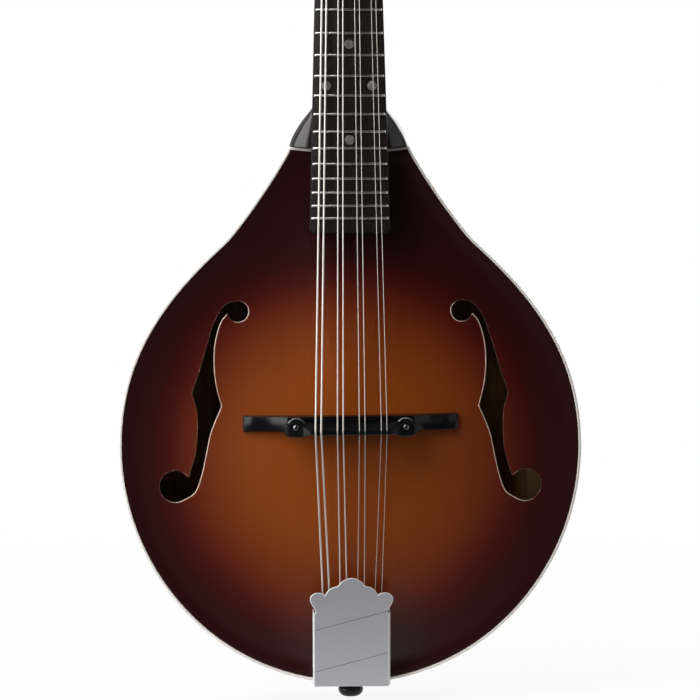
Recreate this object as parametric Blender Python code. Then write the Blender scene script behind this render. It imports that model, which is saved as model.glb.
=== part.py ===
"""A-style mandolin, built as its separate pieces.

Units are metres. The finished instrument stands upright: +Z runs along the neck toward the headstock,
-Y is the way the soundboard faces, and +X is the treble side. The origin is where a wall hanger's yoke
holds it, on the back of the neck below the string nut.

Every piece is drawn on one of three working frames, each an empty:
  bench  x across, y toward the headstock, z out of the soundboard; y = 0 at the neck joint and
         z = 0 in the plane of the soundboard's edge
  neck   x across, y toward the nut along the fingerboard, z out of the fingerboard's face
  head   x across, y up the headstock from the nut, z out of the headstock's face
"""

import math

import bmesh
import bpy
from mathutils import Matrix, Vector
from mathutils.bvhtree import BVHTree

# Body outline, seen from the front
BODY_WIDTH = 0.2481
BODY_LENGTH = 0.2884
NECK_END_WIDTH = 0.0642
WIDEST_FROM_JOINT = 0.1603
SHOULDER_OUT = 0.0674
SHOULDER_DOWN = 0.0510
CORNER_LEAN = math.radians(25.3)
SHOULDER_LEAN = math.radians(48.0)
# How far each stretch of the edge is pulled along its two ends' directions, as shares of its reach
UPPER_PULLS = (0.235, 0.144)
MIDDLE_PULLS = (0.368, 0.385)
LOWER_PULLS = (0.523, 0.581)

# Body shell
RIB_HEIGHT = 0.0340
RIB_THICKNESS = 0.0022
PLATE_EDGE = 0.0048
TOP_ARCH = 0.0115
BACK_ARCH = 0.0095
RECURVE_DEPTH = 0.0007
RECURVE_AT = 0.94
BINDING_WIDTH = 0.0015
LINING_WIDTH = 0.0055
LINING_HEIGHT = 0.0110
LINING_TOE = 0.0020
TONE_BAR_WIDTH = 0.0060
TONE_BAR_HEIGHT = 0.0100
TONE_BAR_START = 0.0750
TONE_BAR_END = 0.2300
TONE_BAR_OUT_START = 0.0150
TONE_BAR_OUT_END = 0.0290
TONE_BAR_END_SHARE = 0.3
TONE_BAR_FULLNESS = 0.7
NECK_BLOCK_WIDTH = 0.0480
NECK_BLOCK_LENGTH = 0.0380
TAIL_BLOCK_WIDTH = 0.0460
TAIL_BLOCK_LENGTH = 0.0220
BUTTON_RADIUS = 0.0140

# Sound holes: eyes, and the body of the letter between its two nicks
UPPER_EYE = (0.0599, -0.0878)
UPPER_EYE_RADIUS = 0.0057
LOWER_EYE = (0.0940, -0.1815)
LOWER_EYE_RADIUS = 0.0085
OUTER_UPPER_EDGE = ((0.0625, -0.0823), (0.0672, -0.0848), (0.0724, -0.0929), (0.0763, -0.1049),
                    (0.0798, -0.1169), (0.0848, -0.1315))
OUTER_LOWER_EDGE = ((0.0848, -0.1315), (0.0822, -0.1410), (0.0818, -0.1520), (0.0830, -0.1640),
                    (0.0867, -0.1764))
INNER_LOWER_EDGE = ((0.0893, -0.1901), (0.0833, -0.1845), (0.0797, -0.1751), (0.0772, -0.1639),
                    (0.0745, -0.1520), (0.0689, -0.1385))
INNER_UPPER_EDGE = ((0.0689, -0.1385), (0.0718, -0.1272), (0.0729, -0.1160), (0.0723, -0.1049),
                    (0.0694, -0.0942), (0.0656, -0.0890))
EYE_STEPS = (8, 10)

# Neck and fingerboard
SCALE_LENGTH = 0.3524
NUT_TO_JOINT = 0.2028
FRETS = 20
BOARD_PAST_LAST_FRET = 0.0078
BOARD_LENGTH = SCALE_LENGTH * (1 - 2 ** (-FRETS / 12)) + BOARD_PAST_LAST_FRET
NUT_WIDTH = 0.0300
BOARD_END_WIDTH = 0.0427
BOARD_THICKNESS = 0.0050
BOARD_CORNER = 0.0020
BOARD_HEIGHT_AT_JOINT = 0.0120
# The board's rounded end: shares of BOARD_CORNER along it, and of its half width there
BOARD_END_ROUNDING = ((1.0, 1.0), (0.3, 0.955), (0.0, 0.90))
NECK_PITCH = math.radians(5.0)
FRET_WIDTH = 0.0014
FRET_HEIGHT = 0.0010
# A fret's section: shares of its width and of its height
FRET_CROWN = ((0.5, 0.0), (0.28, 1.0), (-0.28, 1.0), (-0.5, 0.0))
NECK_DEPTH_AT_NUT = 0.0145
NECK_DEPTH_AT_HEEL = 0.0170
HEEL_REACH = 0.0212
HEEL_SWEEP = 0.0480
HEEL_TIP_WIDTH = 0.0220
CHEEK_FALL = 1.2
SWEEP_FALL = 2.3
SHAFT_FULLNESS = (2.3, 0.45)
# The heel's section, top to foot: shares of its depth, and of half the body's neck end
HEEL_ROWS = ((0.0, 0.62), (0.08, 0.83), (0.16, 1.0), (0.32, 0.985), (0.52, 0.90), (0.72, 0.74),
             (0.88, 0.55), (0.97, 0.42), (1.0, 0.36))
# Places along the neck where its section is drawn
HEEL_STATIONS = (-0.0060, -0.0020, 0.0025, 0.0060, 0.0100, 0.0140, 0.0180, HEEL_REACH)
SHAFT_STATIONS = (0.0280, 0.0350, HEEL_SWEEP, 0.0800, 0.1400)
TENON_LENGTH = 0.0180
TENON_ROOT_WIDTH = 0.0160
TENON_END_WIDTH = 0.0230
TENON_HEIGHT = 0.0290
NUT_THICKNESS = 0.0050
NUT_HEIGHT = 0.0022
RISER_INSET = 0.0020

# Headstock, and how the neck runs into its back: distance past the nut, share of width, drop
HEAD_LEAN = math.radians(15.0)
HEAD_THICKNESS = 0.0130
HEAD_DROP = 0.0035
HEAD_BLEND = ((0.0003, 1.0, 0.0007), (0.0080, 0.98, 0.0036), (0.0140, 0.88, 0.0058), (0.0210, 0.55, 0.0087))
HEAD_BLEND_RISE = 0.62
OVERLAY_THICKNESS = 0.0020
HEAD_OUTLINE = ((0.0155, 0.0), (0.0168, 0.0060), (0.0228, 0.0180), (0.0285, 0.0290), (0.0300, 0.0420),
                (0.0302, 0.0750), (0.0308, 0.1080), (0.0322, 0.1330), (0.0318, 0.1450))
HEAD_CREST = ((0.0318, 0.1450), (0.0260, 0.1500), (0.0190, 0.1505), (0.0120, 0.1530), (0.0060, 0.1570),
              (0.0, 0.1585))

# Truss rod, its nut and the cover plate over it
ROD_RADIUS = 0.0025
ROD_DEPTH = 0.0095
ROD_START = 0.0120
ROD_NUT_RADIUS = 0.0034
ROD_NUT_LENGTH = 0.0070
ROD_POCKET_WIDTH = 0.0090
ROD_POCKET_LENGTH = 0.0190
COVER_PLATE_THICKNESS = 0.0016
COVER_PLATE_OUTLINE = ((0.0085, 0.0015), (0.0085, 0.0060), (0.0062, 0.0130), (0.0052, 0.0220),
                       (0.0038, 0.0285), (0.0, 0.0305))

# Tuning machines, four on a plate
POST_FIRST = 0.0480
POST_SPACING = 0.0230
POST_OUT = 0.0190
POST_RADIUS = 0.0030
POST_WAIST_RADIUS = 0.0026
POST_TOP = 0.0130
POST_SHOULDER = 0.0022
POST_SLOPE = 0.0011
POST_TIP_SHARE = 0.85
TUNER_PLATE_WIDTH = 0.0105
TUNER_PLATE_THICKNESS = 0.0010
TUNER_PLATE_MARGIN = 0.0100
TUNER_PLATE_CORNER = 0.0018
GEAR_TEETH = 14
GEAR_WIDTH = 0.0020
WORM_PITCH = 0.0019
WORM_PITCH_RADIUS = 0.0021
TOOTH_ADDENDUM = 0.00052
TOOTH_DEDENDUM = 0.00072
TOOTH_TIP_THICKNESS = 0.00040
TOOTH_ROOT_THICKNESS = 0.00120
WORM_HALF_LENGTH = 0.0032
WORM_ROOT_SPARE = 0.00005
HUB_STEP = 0.0001
WORM_SHAFT_RADIUS = 0.00095
EAR_THICKNESS = 0.0010
EAR_WIDTH = 0.0052
EAR_TIP_SHARE = 0.72
EAR_TIP_SHORT = 0.0004
KNOB_START = 0.0190
KNOB_LENGTH = 0.0140
KNOB_HALF_WIDTH = 0.0072
KNOB_HALF_THICKNESS = 0.0042
# A knob's sections: shares of its length, half width and half thickness
KNOB_SECTIONS = ((0.0, 0.34, 0.55), (0.18, 0.60, 0.80), (0.48, 0.95, 1.0), (0.70, 1.0, 1.0), (0.90, 0.78, 0.85),
                 (1.0, 0.42, 0.45))

# Bridge
BRIDGE_LENGTH = 0.1148
BRIDGE_DEPTH = 0.0089
BRIDGE_TOP_DEPTH = 0.0076
FOOT_HEIGHT = 0.0030
FOOT_RISE = 0.0016
FOOT_INNER_END = 0.0398
PLATFORM_END = 0.0336
ARCH_HALF_SPAN = 0.0160
ARCH_RISE = 0.0030
ARCH_SHARES = (0.0, 0.5, 0.85, 1.0)
BRIDGE_NOSE_LENGTH = 0.0022
BRIDGE_NOSE_DROP = 0.0014
SADDLE_LENGTH = 0.0705
SADDLE_DEPTH = 0.0064
SADDLE_TOP_DEPTH = 0.0030
SADDLE_HEIGHT = 0.0078
SADDLE_END_HEIGHT = 0.0042
SADDLE_TAPER_FROM = 0.55
SADDLE_CREST_SPARE = 0.0022
SADDLE_STEP = 0.0010
SADDLE_STEP_SPARE = 0.0020
SADDLE_NOSE_LENGTH = 0.0015
# Heights of the saddle's nose, as shares of its end height
SADDLE_NOSE_SHARES = (0.8, 0.5)
WHEEL_OUT = 0.0289
WHEEL_RADIUS = 0.0048
WHEEL_THICKNESS = 0.0030
WHEEL_TEETH = 16
WHEEL_TOOTH_DEPTH = 0.00035
WHEEL_LIFT = 0.0008
STUD_RADIUS = 0.00165
STUD_IN_BASE = 0.0045
STUD_CHAMFER = 0.0004
STUD_TIP_SHARE = 0.7

# Strings, bass to treble: two of each course
COURSE_NAMES = ("g", "d", "a", "e")
COURSE_DIAMETERS = (0.00102, 0.00066, 0.00038, 0.00027)
COURSE_AT_NUT = 0.00717
COURSE_AT_SADDLE = 0.01153
COURSE_AT_HOOKS = 0.0085
PAIR_AT_NUT = 0.0022
PAIR_AT_SADDLE = 0.0030
PAIR_AT_HOOKS = 0.0032
STRING_OVER_NUT_PLANE = 0.0014
STRING_OVER_SADDLE_PLANE = 0.0044
SLOT_SIDE = 0.00035
SLOT_DEPTH = 0.0006
SLOT_FLOOR_SHARE = 0.75
WRAP_TURNS = 2
WRAP_START = 0.0062
WRAP_SPARE = 0.00046
WRAP_CLEARANCE = 0.00018
# For each post, bass side then treble side and nut end first: its string
STRING_AT_POST = (0, 1, 2, 3, 7, 6, 5, 4)

# Tailpiece
TAIL_PLANE_LIFT = 0.0015
TAIL_PLANE_TILT = math.radians(8.0)
TAIL_SHEET = 0.0012
TAIL_BASE_LENGTH = 0.0300
TAIL_LIP_LENGTH = 0.0330
TAIL_LIP_WIDTH = 0.0240
TAIL_LIP_TOE = 0.0060
TAIL_LIP_SHOULDERS = (0.0040, 0.0090)
TAIL_BEND_SHARE = 0.8
# The bend over the tail: distance in from the lip's outer face, height over the plate's face
TAIL_BEND_PROFILE = ((0.0, -TAIL_SHEET), (0.0040, -TAIL_SHEET), (0.0040, 0.0003), (0.0012, 0.0), (0.0, -0.0008))
HOOK_FROM_TAIL = 0.0200
HOOK_WIDTH = 0.0016
HOOK_STEM = 0.0011
HOOK_HEIGHT = 0.0046
HOOK_REACH = 0.0030
STRING_AT_HOOK = 0.0027
COVER_WIDTH = 0.0413
COVER_SHEET = 0.0008
COVER_HEADROOM = 0.0068
COVER_START = 0.0014
COVER_WALL_END = 0.0416
COVER_WALL_DROP = 0.0009
COVER_SHOULDERS = ((0.0192, 0.0424), (0.0213, 0.0455), (0.0224, 0.0487), (0.0217, 0.0517), (0.0175, 0.0529))
COVER_CREST = ((0.0139, 0.0515), (0.0118, 0.0550), (0.0067, 0.0567), (0.0034, 0.0592), (0.0, 0.0609))

# End pin
PIN_RADIUS = 0.0034
PIN_FLANGE_RADIUS = 0.0068
PIN_STAND = 0.0080
PIN_IN_BLOCK = 0.0180
PIN_TAPER = 0.8
# The button's profile: shares of the flange's radius, and of the height it stands
PIN_BUTTON = ((0.82, 0.0), (0.72, 0.22), (0.80, 0.5), (1.0, 0.68), (1.0, 0.82), (0.72, 1.0))

# Room left between pieces that touch, and between shafts and their holes
CLEARANCE = 0.0003
POST_HOLE_SPARE = 0.0006

# How finely round things are drawn
ROUND_SIDES = 16
SMALL_SIDES = 8
WIRE_SIDES = 6
POST_SIDES = 10
LOOP_POINTS = 12
EDGE_STEPS = (5, 8, 11)
RING_FRACTIONS = (0.82, 0.64, 0.44, 0.22)

# Heights in the bench frame that follow from the sizes above
RIB_TOP = -PLATE_EDGE - CLEARANCE
RIB_BOTTOM = RIB_TOP - RIB_HEIGHT
BACK_INNER = RIB_BOTTOM - CLEARANCE
BACK_OUTER = BACK_INNER - PLATE_EDGE
BOUT_CENTRE = Vector((0.0, -WIDEST_FROM_JOINT))

# Places along the neck and head frames that follow
WOOD_TOP = -BOARD_THICKNESS - CLEARANCE
NUT_BACK = NUT_TO_JOINT + NUT_THICKNESS
OVERLAY_BOTTOM = -OVERLAY_THICKNESS
HEAD_TOP = OVERLAY_BOTTOM - CLEARANCE
HEAD_BACK = HEAD_TOP - HEAD_THICKNESS
PLATE_FACE = HEAD_BACK - CLEARANCE
PLATE_BACK = PLATE_FACE - TUNER_PLATE_THICKNESS
GEAR_PITCH_RADIUS = GEAR_TEETH * WORM_PITCH / (2 * math.pi)
WORM_TIP_RADIUS = WORM_PITCH_RADIUS + TOOTH_ADDENDUM
GEAR_LEVEL = PLATE_BACK - CLEARANCE - WORM_TIP_RADIUS
CENTRE_DISTANCE = GEAR_PITCH_RADIUS + WORM_PITCH_RADIUS

NECK_FRAME = Matrix.Translation((0, 0, BOARD_HEIGHT_AT_JOINT)) @ Matrix.Rotation(-NECK_PITCH, 4, "X")
HEAD_START = NUT_BACK + CLEARANCE + OVERLAY_THICKNESS * math.sin(HEAD_LEAN)
HEAD_FRAME = (NECK_FRAME @ Matrix.Translation((0, HEAD_START, -HEAD_DROP))
              @ Matrix.Rotation(-HEAD_LEAN, 4, "X"))
UPRIGHT = Matrix.Rotation(math.pi / 2, 4, "X")

EBONY = ((0.012, 0.011, 0.011), 0.35, 0.0)
BLACK_LACQUER = ((0.006, 0.005, 0.005), 0.12, 0.0)
SUNBURST = ((0.30, 0.085, 0.022), 0.14, 0.0)
DARK_MAPLE = ((0.060, 0.020, 0.010), 0.16, 0.0)
RAW_SPRUCE = ((0.62, 0.44, 0.25), 0.75, 0.0)
RAW_MAHOGANY = ((0.26, 0.12, 0.06), 0.75, 0.0)
CREAM = ((0.80, 0.72, 0.52), 0.35, 0.0)
BONE = ((0.82, 0.78, 0.66), 0.40, 0.0)
ROSEWOOD = ((0.035, 0.020, 0.014), 0.45, 0.0)
NICKEL = ((0.56, 0.56, 0.57), 0.25, 1.0)
STEEL = ((0.40, 0.40, 0.41), 0.35, 1.0)
BRASS = ((0.62, 0.44, 0.16), 0.30, 1.0)
WOUND_WIRE = ((0.66, 0.66, 0.66), 0.30, 1.0)
PLAIN_WIRE = ((0.50, 0.48, 0.45), 0.25, 1.0)


def clear_scene():
    """Removes whatever the file holds before the mandolin is drawn."""
    for obj in list(bpy.data.objects):
        bpy.data.objects.remove(obj, do_unlink=True)


def make_frame(name, parent, matrix):
    """An empty that pieces are placed on."""
    frame = bpy.data.objects.new(name, None)
    bpy.context.scene.collection.objects.link(frame)
    frame.parent = parent
    frame.location = matrix.to_translation()
    frame.rotation_euler = matrix.to_euler()
    return frame


def make_material(name, finish):
    """A Principled material of one colour, roughness and metallic value."""
    colour, roughness, metallic = finish
    material = bpy.data.materials.new(name)
    material.use_nodes = True
    shader = material.node_tree.nodes["Principled BSDF"]
    shader.inputs["Base Color"].default_value = (*colour, 1.0)
    shader.inputs["Roughness"].default_value = roughness
    shader.inputs["Metallic"].default_value = metallic
    return material


def finish_object(name, bm, parent, finish=None, location=(0, 0, 0), turn=(0, 0, 0)):
    """Turns a bmesh into an object on a frame; with no finish it is a cutter or a guide."""
    bmesh.ops.recalc_face_normals(bm, faces=bm.faces)
    mesh = bpy.data.meshes.new(name)
    bm.to_mesh(mesh)
    bm.free()
    obj = bpy.data.objects.new(name, mesh)
    bpy.context.scene.collection.objects.link(obj)
    obj.parent = parent
    obj.location = location
    obj.rotation_euler = turn
    if finish is None:
        obj.hide_render = True
        obj.display_type = "WIRE"
    else:
        mesh.materials.append(make_material(name, finish))
        mesh.shade_smooth()
        mesh.set_sharp_from_angle(angle=math.radians(35))
    return obj


def combine(obj, tool, operation):
    """Adds an exact Boolean with a hidden tool: DIFFERENCE, UNION or INTERSECT."""
    modifier = obj.modifiers.new(tool.name, "BOOLEAN")
    modifier.operation = operation
    modifier.solver = "EXACT"
    modifier.object = tool


def loft(bm, rings, looped=False, ends=True):
    """Skins rings of equal count in order; closes both ends unless the rings loop or ends is False."""
    rows = [[bm.verts.new(point) for point in ring] for ring in rings]
    count = len(rows[0])
    pairs = list(zip(rows, rows[1:]))
    if looped:
        pairs.append((rows[-1], rows[0]))
    for lower, upper in pairs:
        for i in range(count):
            j = (i + 1) % count
            bm.faces.new((lower[i], lower[j], upper[j], upper[i]))
    if ends and not looped:
        bm.faces.new(list(reversed(rows[0])))
        bm.faces.new(rows[-1])
    return rows


def prism(bm, outline, low, high):
    """An outline in x and y, drawn out from one height to the other."""
    loft(bm, [[(x, y, height) for x, y in outline] for height in (low, high)])


def turned(bm, profile, sides=ROUND_SIDES):
    """A solid of revolution about z from (radius, height) pairs, flat at both ends."""
    rings = [[(radius * math.cos(2 * math.pi * i / sides), radius * math.sin(2 * math.pi * i / sides), height)
              for i in range(sides)] for radius, height in profile]
    loft(bm, rings)


def drum(bm, centre, radius, low, high, axis="Z", sides=ROUND_SIDES):
    """A plain cylinder along a frame axis, for holes."""
    turns = {"X": Matrix.Rotation(math.pi / 2, 4, "Y"), "Y": Matrix.Rotation(-math.pi / 2, 4, "X"),
             "Z": Matrix.Identity(4)}
    along = turns[axis] @ Vector((0, 0, (low + high) / 2))
    place = Matrix.Translation(Vector(centre) + along) @ turns[axis]
    bmesh.ops.create_cone(bm, cap_ends=True, segments=sides, radius1=radius, radius2=radius,
                          depth=high - low, matrix=place)


def block(bm, low, high):
    """A box between two corners."""
    (x0, y0, z0), (x1, y1, z1) = low, high
    prism(bm, ((x0, y0), (x1, y0), (x1, y1), (x0, y1)), z0, z1)


def bezier(start, pull_start, pull_end, end, steps):
    """Points of a cubic curve after its start, the end included."""
    points = []
    for i in range(1, steps + 1):
        t = i / steps
        points.append(start * (1 - t) ** 3 + pull_start * 3 * t * (1 - t) ** 2
                      + pull_end * 3 * t * t * (1 - t) + end * t ** 3)
    return points


def smooth_through(knots, steps=2):
    """A curve through hand-placed knots, both ends included."""
    knots = [Vector(knot) for knot in knots]
    ends = [knots[0] * 2 - knots[1]] + knots + [knots[-1] * 2 - knots[-2]]
    points = [knots[0]]
    for before, start, end, after in zip(ends, ends[1:], ends[2:], ends[3:]):
        points += bezier(start, start + (end - before) / 6, end - (after - start) / 6, end, steps)
    return points


def mirrored_outline(half):
    """Closes an outline given for its treble half, from the middle of one end to the other."""
    bass = [Vector((-point[0], point[1])) for point in reversed(half) if abs(point[0]) > 1e-6]
    return [Vector(point) for point in half] + bass


def half_outline():
    """The treble half of the body's edge, from the neck corner round to the tail."""
    corner = Vector((NECK_END_WIDTH / 2, 0.0))
    shoulder = Vector((SHOULDER_OUT, -SHOULDER_DOWN))
    widest = Vector((BODY_WIDTH / 2, -WIDEST_FROM_JOINT))
    tail = Vector((0.0, -BODY_LENGTH))
    off_corner = Vector((math.sin(CORNER_LEAN), -math.cos(CORNER_LEAN)))
    off_shoulder = Vector((math.sin(SHOULDER_LEAN), -math.cos(SHOULDER_LEAN)))
    upper = (shoulder - corner).length
    middle = (widest - shoulder).length
    points = [corner]
    points += bezier(corner, corner + off_corner * upper * UPPER_PULLS[0],
                     shoulder - off_shoulder * upper * UPPER_PULLS[1], shoulder, EDGE_STEPS[0])
    points += bezier(shoulder, shoulder + off_shoulder * middle * MIDDLE_PULLS[0],
                     widest + Vector((0, middle * MIDDLE_PULLS[1])), widest, EDGE_STEPS[1])
    points += bezier(widest, widest - Vector((0, (BODY_LENGTH - WIDEST_FROM_JOINT) * LOWER_PULLS[0])),
                     tail + Vector((BODY_WIDTH / 2 * LOWER_PULLS[1], 0)), tail, EDGE_STEPS[2])
    return points


def full_outline():
    """The body's whole edge, starting and ending beside the middle of the neck end."""
    half = half_outline()
    return [Vector((0.0, 0.0))] + half + [Vector((-p.x, p.y)) for p in reversed(half[:-1])]


def inset(points, amount):
    """Moves a closed outline inward by an even amount."""
    count = len(points)
    moved = []
    for i, point in enumerate(points):
        before = (point - points[i - 1]).normalized()
        after = (points[(i + 1) % count] - point).normalized()
        normals = [Vector((edge.y, -edge.x)) for edge in (before, after)]
        bisector = (normals[0] + normals[1]).normalized()
        moved.append(point + bisector * amount / max(bisector.dot(normals[0]), 0.5))
    return moved


EDGE = full_outline()
HALF_COUNT = len(half_outline())


def treble_edge(amount):
    """The treble half of the body's edge moved inward, neck corner to tail."""
    return inset(EDGE, amount)[1:HALF_COUNT + 1]


def arch_height(fraction, arch):
    """Height of a carved plate over its edge, from the bout's centre (0) out to the edge (1)."""
    if fraction < RECURVE_AT:
        swell = (1 + math.cos(math.pi * fraction / RECURVE_AT)) / 2
        return -RECURVE_DEPTH + (arch + RECURVE_DEPTH) * swell
    return -RECURVE_DEPTH * (1 + math.cos(math.pi * (fraction - RECURVE_AT) / (1 - RECURVE_AT))) / 2


def carved_plate(bm, edge, arch, face, side):
    """A carved plate: its outer face at a height, arched toward side (+1 up, -1 down)."""
    inner = face - side * PLATE_EDGE
    wood = PLATE_EDGE - RECURVE_DEPTH

    def ring(fraction, height):
        return [(*(BOUT_CENTRE + (point - BOUT_CENTRE) * fraction), height) for point in edge]

    rings = [ring(RING_FRACTIONS[-1], face + side * (arch_height(RING_FRACTIONS[-1], arch) - wood))]
    for fraction in reversed(RING_FRACTIONS[:-1]):
        rings.append(ring(fraction, face + side * (arch_height(fraction, arch) - wood)))
    rings.append(ring(RECURVE_AT, inner))
    rings.append(ring(1.0, inner))
    rings.append(ring(1.0, face))
    for fraction in (RECURVE_AT, *RING_FRACTIONS):
        rings.append(ring(fraction, face + side * arch_height(fraction, arch)))
    rows = loft(bm, rings, ends=False)
    for row, height in ((rows[0], arch - wood), (rows[-1], arch)):
        middle = bm.verts.new((*BOUT_CENTRE, face + side * height))
        for i, vert in enumerate(row):
            bm.faces.new((vert, row[(i + 1) % len(row)], middle))
    bmesh.ops.recalc_face_normals(bm, faces=bm.faces)


def sound_hole_outline(side):
    """One f-shaped sound hole in plan, treble (+1) or bass (-1)."""
    def arc(centre, radius, start, end, steps):
        centre = Vector(centre)
        first = math.atan2(start[1] - centre.y, start[0] - centre.x)
        last = math.atan2(end[1] - centre.y, end[0] - centre.x)
        while last > first:
            last -= 2 * math.pi
        angles = [first + (last - first) * (i + 0.5) / steps for i in range(steps)]
        return [centre + Vector((math.cos(a), math.sin(a))) * radius for a in angles]

    points = smooth_through(OUTER_UPPER_EDGE)
    points += smooth_through(OUTER_LOWER_EDGE)[1:]
    points += arc(LOWER_EYE, LOWER_EYE_RADIUS, OUTER_LOWER_EDGE[-1], INNER_LOWER_EDGE[0], EYE_STEPS[1])
    points += smooth_through(INNER_LOWER_EDGE)
    points += smooth_through(INNER_UPPER_EDGE)[1:]
    points += arc(UPPER_EYE, UPPER_EYE_RADIUS, INNER_UPPER_EDGE[-1], OUTER_UPPER_EDGE[0], EYE_STEPS[0])
    return [(side * point.x, point.y) for point in points]


class Surface:
    """Reads the height of a plate's face at a place, from the plate's own facets."""

    def __init__(self, bm):
        self.tree = BVHTree.FromBMesh(bm)

    def outer(self, x, y):
        """Height of the face seen from in front."""
        return self.tree.ray_cast(Vector((x, y, 1.0)), Vector((0, 0, -1)))[0].z

    def inner(self, x, y):
        """Height of the face seen from inside the body, looking out."""
        return self.tree.ray_cast(Vector((x, y, -1.0)), Vector((0, 0, 1)))[0].z


def build_plates(bench):
    """The two carved plates and the binding; returns the soundboard's surface."""
    bm = bmesh.new()
    carved_plate(bm, inset(EDGE, BINDING_WIDTH + CLEARANCE), TOP_ARCH, 0.0, 1)
    surface = Surface(bm)
    top = finish_object("top_plate", bm, bench, SUNBURST)
    cutter = bmesh.new()
    for side in (1, -1):
        prism(cutter, sound_hole_outline(side), -PLATE_EDGE * 3, TOP_ARCH * 2)
    combine(top, finish_object("sound_hole_cutter", cutter, bench), "DIFFERENCE")

    bm = bmesh.new()
    carved_plate(bm, EDGE, BACK_ARCH, BACK_OUTER, -1)
    back = finish_object("back_plate", bm, bench, DARK_MAPLE)
    tab = bmesh.new()
    tip = [(BUTTON_RADIUS * math.cos(math.pi * i / 12), BUTTON_RADIUS * math.sin(math.pi * i / 12))
           for i in range(13)]
    prism(tab, [(BUTTON_RADIUS, -PLATE_EDGE), *tip, (-BUTTON_RADIUS, -PLATE_EDGE)], BACK_OUTER,
          BACK_INNER)
    combine(back, finish_object("button_guide", tab, bench), "UNION")

    bm = bmesh.new()
    outer, inner = EDGE, inset(EDGE, BINDING_WIDTH)
    rings = [[(*o, 0.0), (*o, -PLATE_EDGE), (*i, -PLATE_EDGE), (*i, 0.0)] for o, i in zip(outer, inner)]
    loft(bm, rings, looped=True)
    finish_object("top_binding", bm, bench, CREAM)
    return surface


def build_ribs(bench, pin_cutter):
    """Bent sides, each from the heel's tenon round to the tail seam."""
    start = TENON_ROOT_WIDTH / 2 + CLEARANCE
    seam = CLEARANCE / 2
    for name, side in (("treble", 1), ("bass", -1)):
        outer, inner = treble_edge(0.0), treble_edge(RIB_THICKNESS)
        outer = [Vector((start, 0.0))] + outer[:-1] + [Vector((seam, outer[-1].y))]
        inner = [Vector((start, inner[0].y))] + inner[:-1] + [Vector((seam, inner[-1].y))]
        rings = [[(side * o.x, o.y, RIB_TOP), (side * o.x, o.y, RIB_BOTTOM),
                  (side * i.x, i.y, RIB_BOTTOM), (side * i.x, i.y, RIB_TOP)] for o, i in zip(outer, inner)]
        bm = bmesh.new()
        loft(bm, rings)
        combine(finish_object("rib_" + name, bm, bench, DARK_MAPLE), pin_cutter, "DIFFERENCE")


def build_linings(bench):
    """Tapered strips that widen the gluing edge inside the ribs, between the two blocks."""
    outer = treble_edge(RIB_THICKNESS + CLEARANCE)
    inner = treble_edge(RIB_THICKNESS + CLEARANCE + LINING_WIDTH)
    toe = treble_edge(RIB_THICKNESS + CLEARANCE + LINING_TOE)
    block_end = -RIB_THICKNESS - 2 * CLEARANCE - NECK_BLOCK_LENGTH
    past_neck = [p.x > NECK_BLOCK_WIDTH / 2 + CLEARANCE or p.y < block_end for p in inner]
    past_tail = [p.x > TAIL_BLOCK_WIDTH / 2 + CLEARANCE for p in inner]
    kept = [i for i in range(2, len(inner)) if past_neck[i] and past_tail[i]]
    levels = (("top_lining_", RIB_TOP, -1), ("back_lining_", RIB_BOTTOM, 1))
    for prefix, glue, way in levels:
        for name, side in (("treble", 1), ("bass", -1)):
            far = glue + way * LINING_HEIGHT
            rings = [[(side * outer[i].x, outer[i].y, glue), (side * outer[i].x, outer[i].y, far),
                      (side * toe[i].x, toe[i].y, far),
                      (side * inner[i].x, inner[i].y, glue + way * LINING_TOE),
                      (side * inner[i].x, inner[i].y, glue)] for i in kept]
            bm = bmesh.new()
            loft(bm, rings)
            finish_object(prefix + name, bm, bench, RAW_SPRUCE)


def tenon_outline(grow):
    """The dovetail in plan, from the heel back into the neck block."""
    root, end = TENON_ROOT_WIDTH / 2 + grow, TENON_END_WIDTH / 2 + grow
    return ((-root, PLATE_EDGE), (-root, -RIB_THICKNESS), (-end, -TENON_LENGTH - grow),
            (end, -TENON_LENGTH - grow), (root, -RIB_THICKNESS), (root, PLATE_EDGE))


def build_blocks(bench, pin_cutter):
    """Neck block with its dovetail mortise, and the tail block the end pin is set in."""
    front = -RIB_THICKNESS - CLEARANCE
    bm = bmesh.new()
    half = NECK_BLOCK_WIDTH / 2
    block(bm, (-half, front - NECK_BLOCK_LENGTH, RIB_BOTTOM), (half, front, RIB_TOP))
    neck_block = finish_object("neck_block", bm, bench, RAW_MAHOGANY)
    cutter = bmesh.new()
    prism(cutter, tenon_outline(CLEARANCE), RIB_TOP - TENON_HEIGHT - 2 * CLEARANCE, PLATE_EDGE)
    combine(neck_block, finish_object("mortise_cutter", cutter, bench), "DIFFERENCE")

    half = TAIL_BLOCK_WIDTH / 2
    curve = [p for p in treble_edge(RIB_THICKNESS + CLEARANCE) if p.y < BOUT_CENTRE.y and p.x < half]
    inner = -BODY_LENGTH + RIB_THICKNESS + CLEARANCE + TAIL_BLOCK_LENGTH
    outline = mirrored_outline([(half, inner), (half, curve[0].y + RIB_THICKNESS)] + curve)
    bm = bmesh.new()
    prism(bm, outline, RIB_BOTTOM, RIB_TOP)
    combine(finish_object("tail_block", bm, bench, RAW_MAHOGANY), pin_cutter, "DIFFERENCE")


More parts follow.
